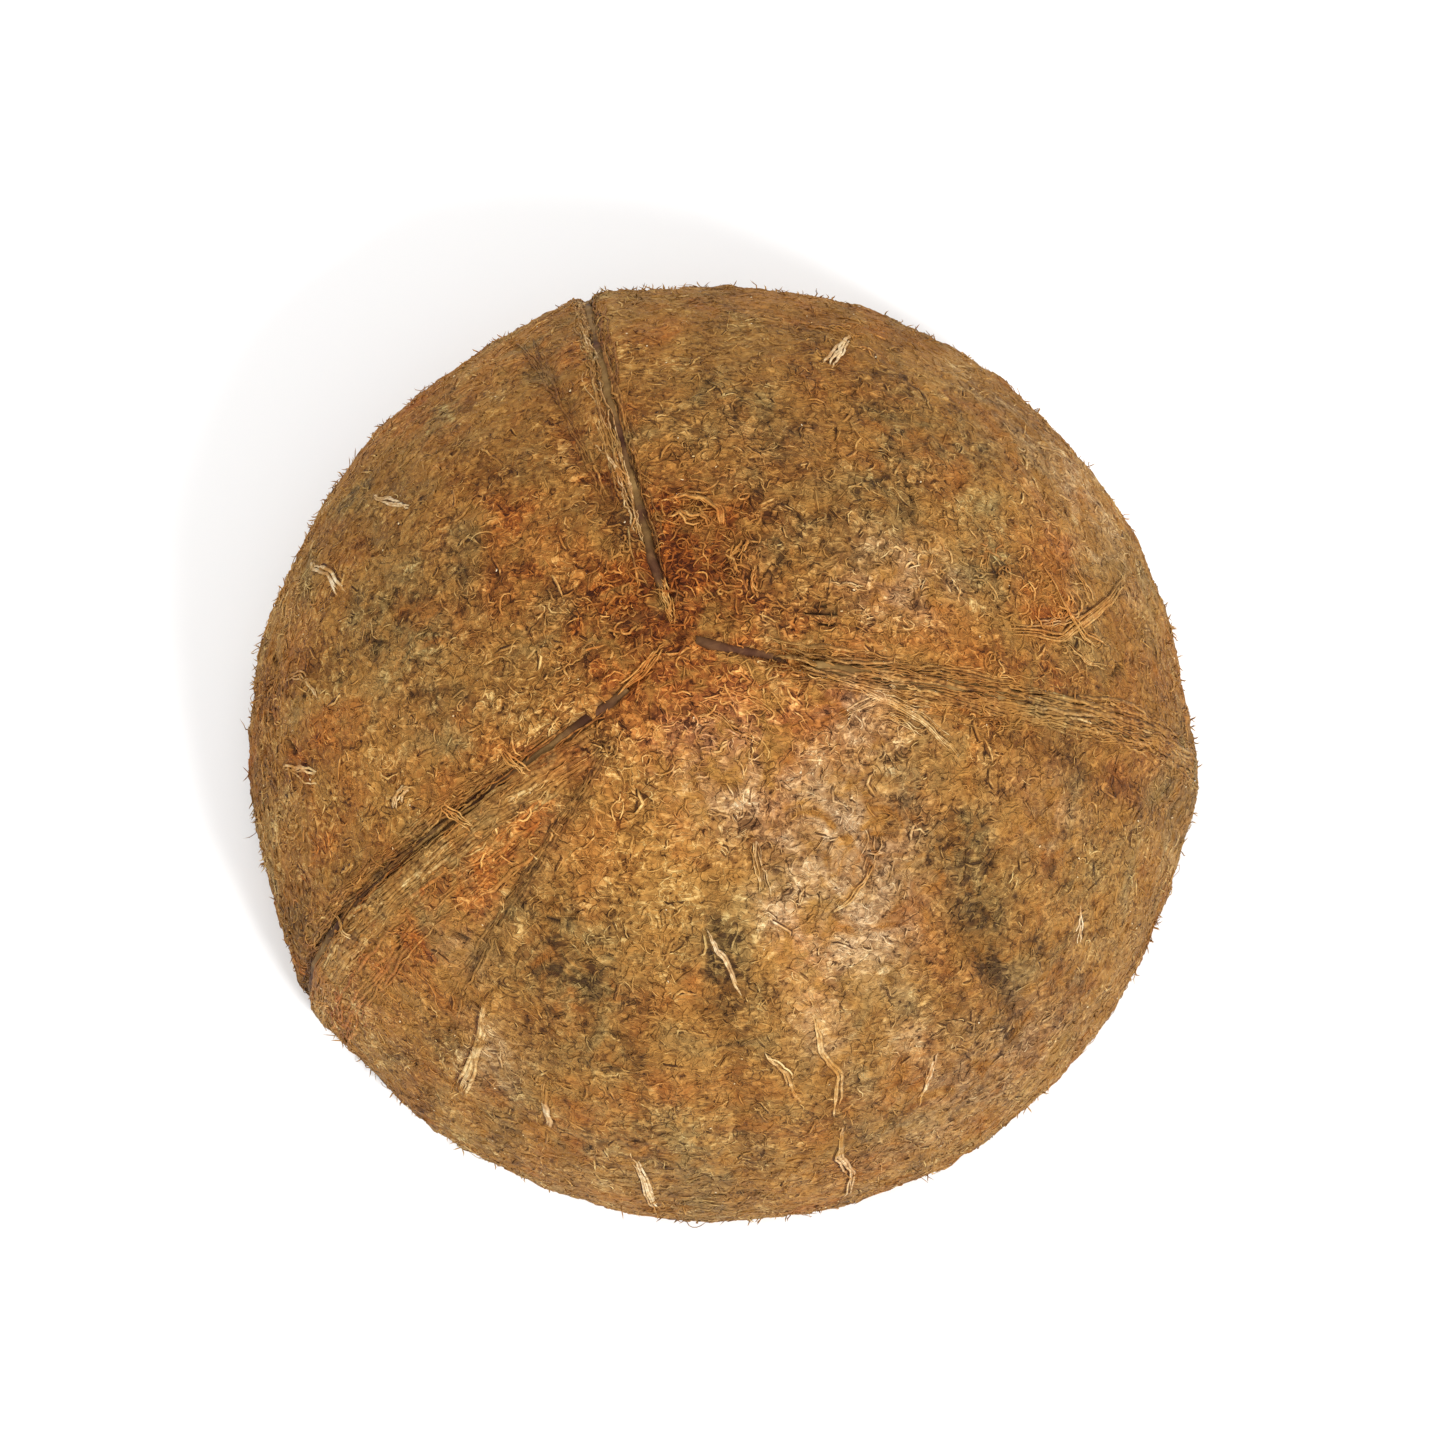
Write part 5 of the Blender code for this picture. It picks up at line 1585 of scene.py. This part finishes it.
strand_pieces = [*felt_pieces, *curl_pieces, *ridge_pieces, ridge_shadow_piece, torn_curls, fringe, specks_piece]
strand_pieces += [*band_pieces, *shred_pieces]
for piece in strand_pieces:
    piece.data.materials.append(fibre_material)
for piece in flake_pieces:
    piece.data.materials.append(coat_material)
    piece.data.set_sharp_from_angle(angle=math.radians(40.0))
for piece in strips:
    piece.data.materials.append(strip_material)

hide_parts(SHELL_NODE)
for piece in (skin, *strips, *flake_pieces, *strand_pieces):
    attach(piece, "root")
print("faces in the coat, the sawn shell and the bowl:", np.bincount(face_slots))

# %% [markdown]
# ## Floor, light and camera
#
# The object lies on a plain white table in soft light from all round. The key light is a soft
# box at the lower right, as the pale sheen on that side shows, and it is weak, because the
# photograph has next to no shadow. The camera looks down steeply, 80 degrees above the horizon,
# through a long lens.

# %% Floor, light and camera
FLOOR_SIZE = 3.0
deselect_all()
bpy.ops.mesh.primitive_plane_add(size=FLOOR_SIZE, location=(0.0, 0.0, 0.0))
floor = bpy.context.object
floor.name = "floor"
floor_material, tree, shader = new_material(
    "plain white table", Base_Color=(0.92, 0.92, 0.92, 1.0), Roughness=0.9
)
floor.data.materials.append(floor_material)

world = bpy.data.worlds.new("studio")
bpy.context.scene.world = world
world.use_nodes = True
world.node_tree.nodes["Background"].inputs["Color"].default_value = (1.0, 1.0, 1.0, 1.0)
world.node_tree.nodes["Background"].inputs["Strength"].default_value = 0.775


def add_soft_box(name, direction, distance, size, power):
    """A square area light that points at the object."""
    data = bpy.data.lights.new(name, "AREA")
    data.size, data.energy = size, power
    lamp = bpy.data.objects.new(name, data)
    toward = Vector(direction).normalized()
    lamp.location = toward * distance + Vector((0.0, 0.0, 0.03))
    lamp.rotation_euler = toward.to_track_quat("Z", "Y").to_euler()
    bpy.context.scene.collection.objects.link(lamp)


add_soft_box("key", (0.46, -0.56, 0.70), 1.0, 0.20, 7.5)
add_soft_box("overhead", (-0.20, 0.25, 1.0), 1.3, 1.2, 8.0)

CAMERA_LENS = 85.0
CAMERA_HEIGHT_ANGLE = math.radians(80.0)
CAMERA_TARGET = Vector((-0.0001, -0.0010, 0.0300))
CAMERA_DISTANCE = 0.4037
camera_data = bpy.data.cameras.new("camera")
camera_data.lens = CAMERA_LENS
camera = bpy.data.objects.new("camera", camera_data)
toward_camera = Vector((0.0, -math.cos(CAMERA_HEIGHT_ANGLE), math.sin(CAMERA_HEIGHT_ANGLE)))
camera.location = CAMERA_TARGET + toward_camera * CAMERA_DISTANCE
camera.rotation_euler = toward_camera.to_track_quat("Z", "Y").to_euler()
bpy.context.scene.collection.objects.link(camera)
bpy.context.scene.camera = camera
bpy.context.scene.view_settings.view_transform = "Standard"
print("the camera is at", [round(value, 3) for value in camera.location])
